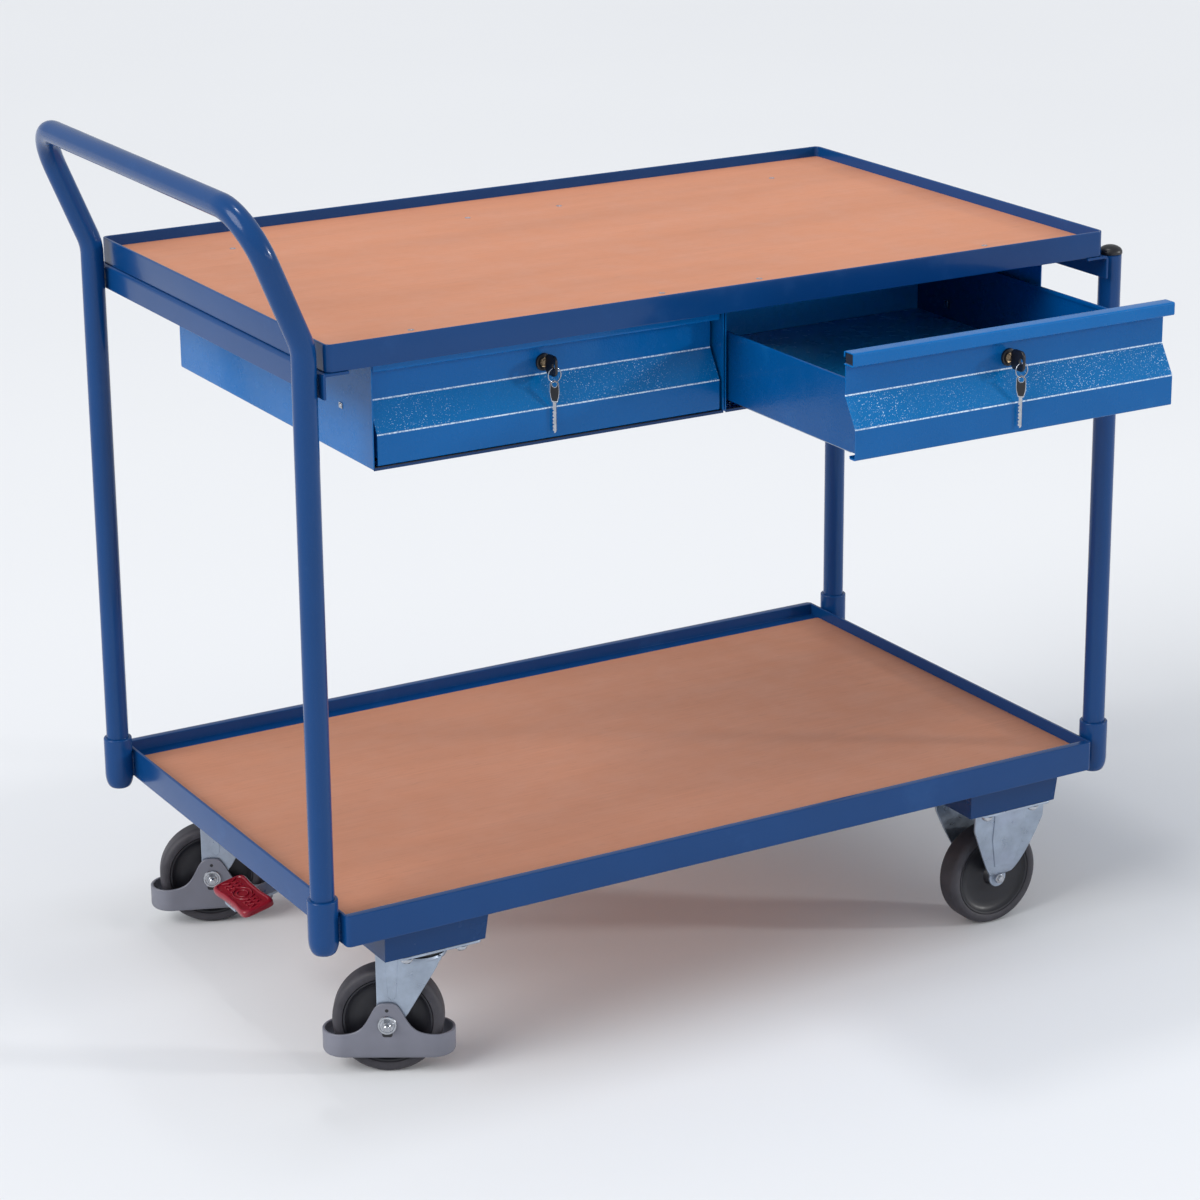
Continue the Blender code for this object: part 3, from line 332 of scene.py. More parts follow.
# A lighter copy of the drawer coat, painted light on the drawers' floors and backs.
DRAWER_LIT_INSIDE = sparkling_coat("drawer_inside_painted_light", (0.010, 0.290, 0.720))
BOARD = beech_board("beech_pattern_board", (0.600, 0.255, 0.148, 1.0))
ZINC = zinc("zinc_plate", (0.37, 0.43, 0.52), 0.26, 0.42)
BRIGHT = bright_metal("bright_nickel", (0.52, 0.54, 0.58), 0.12, 0.28)
BRASS = bright_metal("worn_brass", (0.46, 0.34, 0.21), 0.20, 0.36)
TYRE = tyre_rubber("grey_tyre_rubber", (0.040, 0.038, 0.047, 1.0))
HUB = plastic("dark_hub_plastic", (0.010, 0.010, 0.015, 1.0), 0.36, 0.48, 0.06)
GUARD = plastic("grey_guard_plastic", (0.165, 0.170, 0.210, 1.0), 0.42, 0.54, 0.10, 1.15)
PEDAL = plastic("crimson_pedal_plastic", (0.215, 0.004, 0.016, 1.0), 0.26, 0.38, 0.08, 1.5)
# Black plastic for caps, collar, seals and key bows; the same black paints shade on the housing hems, lip
# ends, guard holes and keyway slots.
BLACK = plastic("black_plastic", (0.008, 0.008, 0.011, 1.0), 0.30, 0.42, 0.08)


# ---- Shapes ------------------------------------------------------------------------
def piece(name, bm, material, body, stands_for=(), bevel=0.0):
    """Turns a bmesh in the row's frame into a piece that rides on a body."""
    bmesh.ops.remove_doubles(bm, verts=bm.verts, dist=MERGE)
    bmesh.ops.recalc_face_normals(bm, faces=bm.faces)
    mesh = bpy.data.meshes.new(name)
    bm.to_mesh(mesh)
    bm.free()
    mesh.materials.append(material)
    mesh.shade_smooth()
    mesh.set_sharp_from_angle(angle=SHARP_ANGLE)
    made = bpy.data.objects.new(name, mesh)
    bpy.context.scene.collection.objects.link(made)
    if bevel:
        soften(made, bevel)
    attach(made, body)
    if stands_for:
        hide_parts(*stands_for)
    return made


def soften(obj, width, segments=2):
    modifier = obj.modifiers.new("edges", "BEVEL")
    modifier.width = width
    modifier.segments = segments
    modifier.limit_method = "ANGLE"
    modifier.angle_limit = SHARP_ANGLE
    modifier.use_clamp_overlap = True


def dress(node, material, bevel=0.0):
    """Gives a CAD node that stays in view its material, and softens its edges."""
    obj = frame["nodes"][node]
    obj.data.materials.clear()
    obj.data.materials.append(material)
    if bevel:
        soften(obj, bevel)


def turns(step, count, first=0):
    """Evenly spaced angles in radians, from a step in degrees."""
    return [math.radians(step * i) for i in range(first, count)]


def arc(centre, radius, start, end, steps):
    angles = [math.radians(start + (end - start) * i / steps) for i in range(steps + 1)]
    return [(centre[0] + radius * math.cos(a), centre[1] + radius * math.sin(a)) for a in angles]


def add_box(bm, low, high, place=Matrix()):
    xs, ys, zs = zip(low, high)
    corners = [bm.verts.new(place @ Vector((x, y, z))) for x in xs for y in ys for z in zs]
    for side in ((0, 1, 3, 2), (4, 6, 7, 5), (0, 4, 5, 1), (2, 3, 7, 6), (0, 2, 6, 4), (1, 5, 7, 3)):
        bm.faces.new([corners[i] for i in side])


def add_prism(bm, outline, axis, start, end, place=Matrix()):
    """Extrudes an outline along an axis, from start to end."""
    at = {
        "X": lambda a, b, along: (along, a, b),
        "Y": lambda a, b, along: (a, along, b),
        "Z": lambda a, b, along: (a, b, along),
    }[axis]
    rows = []
    for along in (start, end):
        rows.append([bm.verts.new(place @ Vector(at(a, b, along))) for a, b in outline])
    first, last = rows
    bm.faces.new(first)
    bm.faces.new(list(reversed(last)))
    count = len(outline)
    for i in range(count):
        j = (i + 1) % count
        bm.faces.new((first[i], first[j], last[j], last[i]))


def add_pair(bm, outline, axis, inner, outer, place):
    """The same prism on both sides of the middle plane."""
    for sign in (-1, 1):
        near, far = sorted((sign * inner, sign * outer))
        add_prism(bm, outline, axis, near, far, place)


def add_lathe(bm, profile, sides, place=Matrix(), ring=False):
    """Turns a (radius, height) profile round the Z axis; a ring's profile closes on itself."""
    rows = []
    for radius, height in profile:
        count = 1 if radius < MERGE else sides
        angles = [2 * math.pi * i / sides for i in range(count)]
        row = [Vector((radius * math.cos(a), radius * math.sin(a), height)) for a in angles]
        rows.append([bm.verts.new(place @ point) for point in row])
    pairs = list(zip(rows, rows[1:]))
    if ring:
        pairs.append((rows[-1], rows[0]))
    for below, above in pairs:
        for i in range(sides):
            j = i + 1
            around = (
                below[i % len(below)], below[j % len(below)],
                above[j % len(above)], above[i % len(above)],
            )
            bm.faces.new(list(dict.fromkeys(around)))


def add_skin(bm, rows, closed=False):
    """Joins rows of corners with faces; an open run of rows gets a cap on each end."""
    following = rows[1:] + rows[:1] if closed else rows[1:]
    for one, other in zip(rows, following):
        count = len(one)
        for i in range(count):
            j = (i + 1) % count
            bm.faces.new((one[i], one[j], other[j], other[i]))
    if not closed:
        bm.faces.new(rows[0])
        bm.faces.new(list(reversed(rows[-1])))


def add_tube(bm, path, radius, sides):
    """A solid round bar along a path, with flat ends and no twist."""
    rows = []
    across = Vector((1, 0, 0))
    for i, point in enumerate(path):
        direction = (path[min(i + 1, len(path) - 1)] - path[max(i - 1, 0)]).normalized()
        if abs(across.dot(direction)) > 0.99:
            across = Vector((0, 1, 0))
        across = (across - direction * across.dot(direction)).normalized()
        upright = direction.cross(across)
        ring = []
        for k in range(sides):
            angle = 2 * math.pi * k / sides
            ring.append(bm.verts.new(point + (across * math.cos(angle) + upright * math.sin(angle)) * radius))
        rows.append(ring)
    add_skin(bm, rows)


def along_y(x, y, z):
    return Matrix.Translation((x, y, z)) @ Matrix.Rotation(math.radians(-90), 4, "X")


def rounded_path(corners, radii, steps):
    """Replaces each inner corner of a path with an arc of its radius."""
    path = [corners[0]]
    for before, corner, after, radius in zip(corners, corners[1:], corners[2:], radii):
        back = (before - corner).normalized()
        ahead = (after - corner).normalized()
        half = back.angle(ahead) / 2
        reach = radius / math.tan(half)
        centre = corner + (back + ahead).normalized() * radius / math.sin(half)
        start = corner + back * reach - centre
        end = corner + ahead * reach - centre
        for i in range(steps + 1):
            path.append(centre + start.slerp(end, i / steps) * radius)
    path.append(corners[-1])
    return path


def folded_sheet(corners, thickness, radius, steps=5):
    """The outline of a sheet bent along a line of (a, b) corners, each bend with its radius."""
    points = [Vector((a, b, 0)) for a, b in corners]
    line = rounded_path(points, [radius] * len(points), steps)
    left, right = [], []
    for i, point in enumerate(line):
        direction = (line[min(i + 1, len(line) - 1)] - line[max(i - 1, 0)]).normalized()
        across = Vector((-direction.y, direction.x, 0)) * thickness / 2
        left.append(((point + across).x, (point + across).y))
        right.append(((point - across).x, (point - across).y))
    return left + right[::-1]


def rounded_rectangle(low, high, radius, steps=8):
    centres = (
        (high[0] - radius, high[1] - radius, 0),
        (low[0] + radius, high[1] - radius, 90),
        (low[0] + radius, low[1] + radius, 180),
        (high[0] - radius, low[1] + radius, 270),
    )
    return [point for x, y, start in centres for point in arc((x, y), radius, start, start + 90, steps)]


def add_tray_ring(bm, low, high, corner, section, steps=10):
    """Carries a closed section round a rectangle; its points are (end inset, side inset, height)."""
    corners = (
        (low[0], low[1], 1, 1), (high[0], low[1], -1, 1),
        (high[0], high[1], -1, -1), (low[0], high[1], 1, -1),
    )
    stations = []
    for number, (edge_x, edge_y, to_x, to_y) in enumerate(corners):
        angles = turns(90 / steps, steps + 1)
        for angle in angles if number % 2 == 0 else reversed(angles):
            station = []
            for end_inset, side_inset, height in section:
                reach_x = max(corner, end_inset)
                reach_y = max(corner, side_inset)
                x = edge_x + to_x * (reach_x - (reach_x - end_inset) * math.cos(angle))
                y = edge_y + to_y * (reach_y - (reach_y - side_inset) * math.sin(angle))
                station.append(bm.verts.new((x, y, height)))
            stations.append(station)
    add_skin(bm, stations, closed=True)


def eased(section, radius):
    """Cuts each sharp corner of a closed (end inset, side inset, height) section with a small round."""
    result = []
    count = len(section)
    for i, corner in enumerate(section):
        corner = Vector(corner)
        before = Vector(section[i - 1])
        after = Vector(section[(i + 1) % count])
        reach = min(radius, (before - corner).length * 0.45, (after - corner).length * 0.45)
        start = corner + (before - corner).normalized() * reach
        end = corner + (after - corner).normalized() * reach
        for step in range(4):
            t = step / 3
            result.append(tuple(start * (1 - t) ** 2 + corner * 2 * t * (1 - t) + end * t**2))
    return result


# ---- Trays -------------------------------------------------------------------------
def socket(bm, x, y, low, high, radius):
    """A deep-drawn cup with a rounded foot and a rolled mouth."""
    outer = [(0.0, low)]
    outer += [
        (radius - 0.0071 * (1 - math.sin(a)), low + 0.0180 * (1 - math.cos(a))) for a in turns(7.5, 13)
    ]
    mouth = arc((radius - 0.0016, high - 0.0016), 0.0016, 0, 90, 5)
    inner = [(0.01345, high), (0.01335, high - 0.004), (0.0, high - 0.004)]
    add_lathe(bm, outer + mouth + inner, 56, Matrix.Translation((x, y, 0)))


def weld_bead(bm, start, end, radius, ripple):
    """A rippled line of weld metal between two points."""
    steps = max(10, int((end - start).length / 0.0012))
    sides = 10
    direction = (end - start).normalized()
    across = direction.orthogonal().normalized()
    upright = direction.cross(across)
    rows = []
    for i in range(steps + 1):
        t = i / steps
        size = radius * (1 + ripple * math.sin(i * 2.1)) * min(1.0, 0.55 + 3 * min(t, 1 - t))
        middle = start.lerp(end, t)
        rows.append([
            bm.verts.new(middle + (across * math.cos(a) + upright * math.sin(a)) * size)
            for a in (2 * math.pi * k / sides for k in range(sides))
        ])
    add_skin(bm, rows)


def lower_tray():
    low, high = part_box("bottom_tray_frame")
    board_low, board_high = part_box("bottom_board")
    _, channel_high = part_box("castor_channel_left")
    sheet = 0.002
    base = channel_high.z + 0.0003
    rim = base + 0.0357
    deck = board_high.z
    support = board_low.z - 0.0003
    x0, x1 = board_low.x - 0.0043, board_high.x + 0.0043
    section = [
        (0.0, 0.0, base), (0.0, 0.0, rim), (0.0035, 0.010, rim), (0.0035, 0.010, deck),
        (0.004, 0.028, deck), (0.004, 0.028, support), (0.018, 0.042, support),
        (0.018, 0.042, support - sheet), (0.003, 0.026, support - sheet), (0.003, 0.026, deck - sheet),
        (0.0025, 0.008, deck - sheet), (0.0025, 0.008, rim - sheet), (sheet, sheet, rim - sheet),
        (sheet, sheet, base),
    ]
    bm = bmesh.new()
    add_tray_ring(bm, (x0, low.y), (x1, high.y), 0.006, eased(section, 0.0014))
    piece("lower_tray_rim", bm, BLUE, "root", ["bottom_tray_frame"])
    handle_low, handle_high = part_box("handle_frame")
    post_low, post_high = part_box("post_front_right")
    post_x = (post_low.x + post_high.x) / 2
    for end, x, edge in (("left", handle_high.x - TUBE_RADIUS, x0), ("right", post_x, x1)):
        toward = 1 if edge > x else -1
        for place, y in (("front", handle_low.y + TUBE_RADIUS), ("rear", handle_high.y - TUBE_RADIUS)):
            bm = bmesh.new()
            socket(bm, x, y, low.z, high.z, 0.0169)
            piece(f"post_socket_{place}_{end}", bm, BLUE, "root", ["bottom_tray_frame"])
            bm = bmesh.new()
            seam = edge - toward * 0.0008
            for side in (-1, 1):
                foot = Vector((seam, y + side * 0.0062, base + 0.002))
                head = Vector((seam, y + side * 0.0062, rim - 0.004))
                weld_bead(bm, foot, head, 0.0032, 0.10)
            web_low = min(seam, x + toward * 0.014)
            web_high = max(seam, x + toward * 0.014)
            add_box(bm, (web_low, y - 0.006, base + 0.003), (web_high, y + 0.006, rim - 0.004))
            piece(f"socket_weld_{place}_{end}", bm, BLUE, "root", ["bottom_tray_frame"])
    dress("bottom_board", BOARD, 0.0006)


def upper_tray():
    low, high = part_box("top_tray_frame")
    board_low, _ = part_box("top_board")
    support = board_low.z - 0.0003
    wall, flange = 0.003, 0.0282
    points = [
        (0.0, low.z), (0.0, high.z), (wall, high.z), (wall, support), (flange, support),
        (flange, support - 0.002), (wall, support - 0.002), (wall, low.z),
    ]
    bm = bmesh.new()
    section = eased([(inset, inset, height) for inset, height in points], 0.0012)
    add_tray_ring(bm, (low.x, low.y), (high.x, high.y), 0.008, section)
    piece("upper_tray_rim", bm, BLUE, "root", ["top_tray_frame"])
    dress("top_board", BOARD, 0.0006)


def board_screws():
    """Countersunk screws that hold the drawer housings, through the upper board."""
    _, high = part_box("top_board")
    spots = []
    for side in ("left", "right"):
        first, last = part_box(f"drawer_housing_{side}")
        across = (first.x + 0.062, last.x - 0.062)
        spots += [(x, y) for x in across for y in (first.y + 0.028, last.y - 0.022)]
    bm = bmesh.new()
    for x, y in spots:
        profile = [(0.0, high.z - 0.0006), (0.0014, high.z - 0.0006), (0.0017, high.z + 0.0002)]
        profile += [(0.0032, high.z + 0.0003), (0.0036, high.z + 0.0001)]
        profile += [(0.0036, high.z - 0.0010), (0.0, high.z - 0.0010)]
        add_lathe(bm, profile, 20, Matrix.Translation((x, y, 0)))
    piece("board_screws", bm, ZINC, "root")


# ---- Handle, posts and rails -------------------------------------------------------
def handle():
    low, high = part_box("handle_frame")
    post_x = high.x - TUBE_RADIUS
    bar_x = low.x + TUBE_RADIUS
    bar_z = high.z - TUBE_RADIUS
    foot = low.z + 0.010
    side = [(post_x, foot), (post_x, bar_z - HANDLE_RISE), (bar_x, bar_z)]
    front = [Vector((x, low.y + TUBE_RADIUS, z)) for x, z in side]
    back = [Vector((x, high.y - TUBE_RADIUS, z)) for x, z in reversed(side)]
    radii = (TRAY_BEND_RADIUS, HANDLE_BEND_RADIUS, HANDLE_BEND_RADIUS, TRAY_BEND_RADIUS)
    bm = bmesh.new()
    add_tube(bm, rounded_path(front + back, radii, 18), TUBE_RADIUS, 48)
    piece("push_handle_tube", bm, BLUE, "root", ["handle_frame"])


def far_posts():
    for end in ("front", "rear"):
        low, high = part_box(f"post_{end}_right")
        x, y = (low.x + high.x) / 2, (low.y + high.y) / 2
        radius = (high.x - low.x) / 2
        profile = [(0.0, low.z + 0.010), (radius, low.z + 0.010)]
        profile += [(radius, high.z - 0.0008), (radius - 0.0008, high.z), (0.0, high.z)]
        bm = bmesh.new()
        add_lathe(bm, profile, 48, Matrix.Translation((x, y, 0)))
        piece(f"far_post_{end}", bm, BLUE, "root", [f"post_{end}_right"])
        cap_low, cap_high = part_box(f"post_cap_{end}")
        rim = (cap_high.x - cap_low.x) / 2
        brim = high.z + 0.0022
        crest = cap_high.z - high.z - 0.0022
        dome = [(rim * math.sin(a), brim + crest * math.cos(a)) for a in turns(7.5, 13)]
        dome += [(rim, high.z + 0.0006), (rim - 0.0005, high.z + 0.0003), (0.0, high.z + 0.0003)]
        bm = bmesh.new()
        add_lathe(bm, dome, 48, Matrix.Translation((x, y, 0)))
        piece(f"domed_cap_{end}", bm, BLACK, "root", [f"post_cap_{end}"])


def cross_rails():
    for end, inward in (("left", 1), ("right", -1)):
        low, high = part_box(f"cross_rail_{end}")
        face = low.x if inward > 0 else high.x
        half = 0.0015
        line = [
            (face + inward * half, low.z),
            (face + inward * half, high.z - half),
            (face + inward * (high.x - low.x), high.z - half),
        ]
        bm = bmesh.new()
        add_prism(bm, folded_sheet(line, 0.003, 0.003), "Y", low.y, high.y)
        piece(f"end_rail_{end}", bm, BLUE, "root", [f"cross_rail_{end}"], 0.0004)


# ---- Drawer housings and drawers ---------------------------------------------------
def housing(side):
    """A folded shell with hanging flanges, a welded back and a hemmed front edge; the hem is black and the
    lower front edge darker blue, both painted shade.
    """
    low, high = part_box(f"drawer_housing_{side}")
    half = 0.0006
    flange = 0.025
    line = [
        (low.x + flange, high.z - half), (low.x + half, high.z - half), (low.x + half, low.z + half),
        (high.x - half, low.z + half), (high.x - half, high.z - half), (high.x - flange, high.z - half),
    ]
    bm = bmesh.new()
    add_prism(bm, folded_sheet(line, 0.0012, 0.0020), "Y", low.y, high.y - 0.0013)
    piece(f"housing_shell_{side}", bm, DRAWER_BLUE, "root", [f"drawer_housing_{side}"])
    bm = bmesh.new()
    left, right = low.x + 0.0014, high.x - 0.0014
    add_box(bm, (left, high.y - 0.0026, low.z + 0.0014), (right, high.y - 0.0014, high.z - 0.0014))
    add_box(bm, (left, high.y - 0.020, high.z - 0.0030), (right, high.y - 0.0028, high.z - 0.0016))
    piece(f"housing_back_{side}", bm, DRAWER_BLUE, "root", [f"drawer_housing_{side}"], 0.0004)
    # The hem is drawn black, painted shade in the gap under the drawer.
    hem = [
        (low.y + 0.0030, low.z + 0.0020), (low.y + 0.0030, low.z + 0.0034),
        (low.y + 0.0007, low.z + 0.0034), (low.y + 0.0007, low.z + 0.0014),
    ]
    bm = bmesh.new()
    add_prism(bm, folded_sheet(hem, 0.0010, 0.0006), "X", low.x + 0.0015, high.x - 0.0015)
    piece(f"housing_shade_hem_{side}", bm, BLACK, "root", [f"drawer_housing_{side}"])
    # A darker blue strip on the lower front edge, painted shade.
    bm = bmesh.new()
    edge_low = (low.x + 0.0004, low.y - 0.0002, low.z + 0.0001)
    add_box(bm, edge_low, (high.x - 0.0004, low.y + 0.0002, low.z + 0.0030))
    piece(f"housing_shade_edge_{side}", bm, SHADE_BLUE, "root", [f"drawer_housing_{side}"])
    wall_tabs(side, low, high)


def wall_tabs(side, low, high):
    """The small bent tab and its screw near the front of each outer wall."""
    bm = bmesh.new()
    y, z = low.y + TAB_BACK, TAB_HEIGHT
    for x, outward in ((low.x, -1), (high.x, 1)):
        near, far = sorted((x - outward * 0.0002, x + outward * 0.0010))
        add_box(bm, (near, y - 0.0040, z - 0.0030), (far, y + 0.0040, z + 0.0030))
        spot = Matrix.Translation((x + outward * 0.0010, y, z))
        turn = spot @ Matrix.Rotation(math.radians(90 * outward), 4, "Y")
        dome = [(0.0, -0.0002), (0.0024, -0.0002)]
        dome += [(0.0024 * math.cos(a), 0.0012 * math.sin(a)) for a in turns(15, 6)]
        add_lathe(bm, dome + [(0.0, 0.0012)], 20, turn)
    piece(f"wall_tabs_{side}", bm, BRIGHT, "root")


def drawer(side):
    body = f"drawer_{side}"
    low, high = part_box(f"drawer_front_{side}")
    middle = (low.x + high.x) / 2
    half = (high.x - low.x) / 2 - LIP_OVERHANG
    place = Matrix.Translation((middle, low.y, 0))
    t = FRONT_SHEET
    h = t / 2
    line = [
        (0.0106, FRONT_LOW + 0.0036), (0.0106, FRONT_LOW + h), (h, FRONT_LOW + h), (h, FRONT_KNEE),
        (FACET_SETBACK + h, FRONT_UPPER), (FACET_SETBACK + h, FRONT_STEP + h),
    ]
    bm = bmesh.new()
    add_prism(bm, folded_sheet(line, t, 0.0014), "X", -half, half, place)
    piece(f"drawer_panel_{side}", bm, DRAWER_FRONT, body, [f"drawer_front_{side}"])
    back = LIP_SETBACK + LIP_DEPTH
    lip = [
        (FACET_SETBACK + h, FRONT_STEP), (LIP_SETBACK + h, FRONT_STEP), (LIP_SETBACK + h, FRONT_TOP - h),
        (back - h, FRONT_TOP - h), (back - h, FRONT_TOP - 0.0065),
    ]
    bm = bmesh.new()
    add_prism(bm, folded_sheet(lip, t, 0.0016), "X", -half - LIP_OVERHANG, half + LIP_OVERHANG, place)
    piece(f"drawer_lip_{side}", bm, DRAWER_BLUE, body, [f"drawer_front_{side}"])
    # Black end pieces inside the lip: painted shade in the gaps at its ends.
    bm = bmesh.new()
    outline = [(LIP_SETBACK + t, FRONT_STEP + t), (LIP_SETBACK + t, FRONT_TOP - t)]
    outline += [(back - t, FRONT_TOP - t), (back - t, FRONT_STEP + t)]
    add_pair(bm, outline, "X", half - 0.0006, half + 0.0004, place)
    piece(f"drawer_shade_lip_ends_{side}", bm, BLACK, body, [f"drawer_front_{side}"])
    drawer_tray(side, body, place, half)
    lock(side, body, place)


def drawer_tray(side, body, place, half):
    """The drawer's folded box with hemmed upper edges, a back wall and a hook tab."""
    low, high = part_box(f"drawer_box_{side}")
    front_low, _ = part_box(f"drawer_front_{side}")
    depth = high.y - front_low.y
    h = 0.0005
    top = high.z
    hem = 0.0042
    start = FRONT_SHEET + 0.0002
    bm = bmesh.new()
    for sign in (-1, 1):
        wall = [(start, low.z), (start, FRONT_KNEE), (FACET_SETBACK + start, FRONT_UPPER)]
        wall += [(FACET_SETBACK + start, top - hem), (depth - 0.0012, top - hem), (depth - 0.0012, low.z)]
        near, far = sorted((sign * half, sign * (half - 2 * h)))
        add_prism(bm, wall, "X", near, far, place)
        outer, inner = sign * (half - h), sign * (half - 0.0030)
        fold = [(outer, top - hem), (outer, top - h), (inner, top - h), (inner, top - hem)]
        add_prism(bm, folded_sheet(fold, 2 * h, 0.0008), "Y", FACET_SETBACK + start, depth - 0.0012, place)
    # The side walls take the darker copy as painted shade.
    piece(f"drawer_sides_{side}", bm, DRAWER_WALL_SHADE, body, [f"drawer_box_{side}"])
    bm = bmesh.new()
    add_box(bm, (-half + 2 * h, start, low.z), (half - 2 * h, depth - 0.0012, low.z + 2 * h), place)
    # Floor and back take the lighter copy as painted light.
    piece(f"drawer_floor_{side}", bm, DRAWER_LIT_INSIDE, body, [f"drawer_box_{side}"])
    bm = bmesh.new()
    back = [(depth - 0.0040, top - hem), (depth - 0.0040, top - h)]
    back += [(depth - h, top - h), (depth - h, low.z + 0.0012)]
    add_prism(bm, folded_sheet(back, 0.0010, 0.0009, 3), "X", -half + 0.0012, half - 0.0012, place)
    piece(f"drawer_back_{side}", bm, DRAWER_LIT_INSIDE, body, [f"drawer_box_{side}"])
    bm = bmesh.new()
    inner = half - 0.0011
    tab = [(inner, 0.7350), (inner - 0.0035, 0.7372), (inner - 0.0040, 0.7462), (inner, 0.7466)]
    add_prism(bm, tab, "Y", depth - 0.0680, depth - 0.0600, place)
    piece(f"drawer_hook_tab_{side}", bm, BRIGHT, body, (), 0.0003)
    for end in ("a", "b"):
        dress(f"drawer_runner_{side}_{end}", ZINC, 0.0003)
        dress(f"guide_rail_{side}_{end}", ZINC, 0.0001)


def lock(side, body, place):
    """The black collar, the brass core that turns in it, its cam and its key."""
    axis = place @ Matrix.Translation((0, FACET_SETBACK, LOCK_HEIGHT))
    turned = axis @ along_y(0, 0, 0)
    bm = bmesh.new()
    collar = [(0.0055, -0.0024), (0.0060, -0.0030), (0.0082, -0.0031), (0.0094, -0.0024)]
    collar += [(0.0098, -0.0013), (0.0098, -0.0001)]
    collar += [(0.0080, -0.0001), (0.0080, 0.0200), (0.0055, 0.0200)]
    add_lathe(bm, collar, 48, turned, ring=True)
    piece(f"lock_collar_{side}", bm, BLACK, body, [f"lock_barrel_{side}"])
    turning = f"lock_{side}"
    bm = bmesh.new()
    core = [(0.0, -0.0016), (0.0046, -0.0016), (0.0046, -0.0026), (0.0052, -0.0028)]
    core += [(0.0053, -0.0020), (0.0053, 0.0230), (0.0, 0.0230)]
    add_lathe(bm, core, 40, turned)
    piece(f"lock_cylinder_{side}", bm, BRASS, turning, [f"lock_core_{side}"])
    bm = bmesh.new()
    cam = arc((0.0, 0.0), 0.0062, -60, 60, 8) + arc((-0.0205, 0.0), 0.0035, 120, 240, 6)
    add_prism(bm, cam, "Y", 0.0205, 0.0225, axis)
    piece(f"lock_cam_{side}", bm, ZINC, turning, [f"lock_core_{side}"], 0.0003)
    # A thin black bar on the core's face, painted shade standing for the keyway slot.
    bm = bmesh.new()
    add_box(bm, (-0.0008, -0.0019, -0.0038), (0.0008, -0.0014, 0.0038), axis)
    piece(f"lock_slot_shade_{side}", bm, BLACK, turning, [f"lock_core_{side}"])
    key(side, axis, turning)
    hanging_keys(side, axis)


def key_outline(centre, reach, cut):
    """A square bow with cut corners, as (along, across) points."""
    flat = reach - cut
    corners = [
        (reach, -flat), (reach, flat), (flat, reach), (-flat, reach),
        (-reach, flat), (-reach, -flat), (-flat, -reach), (flat, -reach),
    ]
    return [(centre + a, b) for a, b in corners]


def ring_plate(bm, outline, hole, thickness, place):
    """A plate along X with a round hole; outline and hole have the same number of points."""
    loops = []
    for x in (-thickness / 2, thickness / 2):
        for points in (outline, hole):
            loops.append([bm.verts.new(place @ Vector((x, a, b))) for a, b in points])
    outer_a, hole_a, outer_b, hole_b = loops
    add_skin(bm, [outer_a, hole_a, hole_b, outer_b], closed=True)


def evenly(outline, centre, count):
    """Points where rays from the centre, evenly turned, cross a convex outline."""
    points = []
    for i in range(count):
        angle = 2 * math.pi * i / count
        ray = (math.cos(angle), math.sin(angle))
        best = 0.0
        for (ax, ay), (bx, by) in zip(outline, outline[1:] + outline[:1]):
            dx, dy = bx - ax, by - ay
            cross = ray[0] * dy - ray[1] * dx
            if abs(cross) < 1e-12:
                continue
            reach = ((ax - centre[0]) * dy - (ay - centre[1]) * dx) / cross
            along = ((ax - centre[0]) * ray[1] - (ay - centre[1]) * ray[0]) / cross
            if reach > 0 and -1e-6 <= along <= 1 + 1e-6:
                best = max(best, reach)
        points.append((centre[0] + ray[0] * best, centre[1] + ray[1] * best))
    return points


def key(side, axis, turning):
    hole_at = (KEY_HOLE_OUT, 0.0)
    outline = evenly(key_outline(-0.0175, 0.0113, 0.0040), hole_at, 40)
    hole = arc(hole_at, 0.0033, 0, 351, 39)
    bm = bmesh.new()
    ring_plate(bm, outline, hole, 0.0030, axis)
    piece(f"key_bow_{side}", bm, BLACK, turning, [f"key_{side}"], 0.0005)
    bm = bmesh.new()
    add_box(bm, (-0.0009, -0.0066, -0.0030), (0.0009, -0.0016, 0.0030), axis)
    piece(f"key_shank_{side}", bm, BRIGHT, turning, [f"key_{side}"], 0.0002)


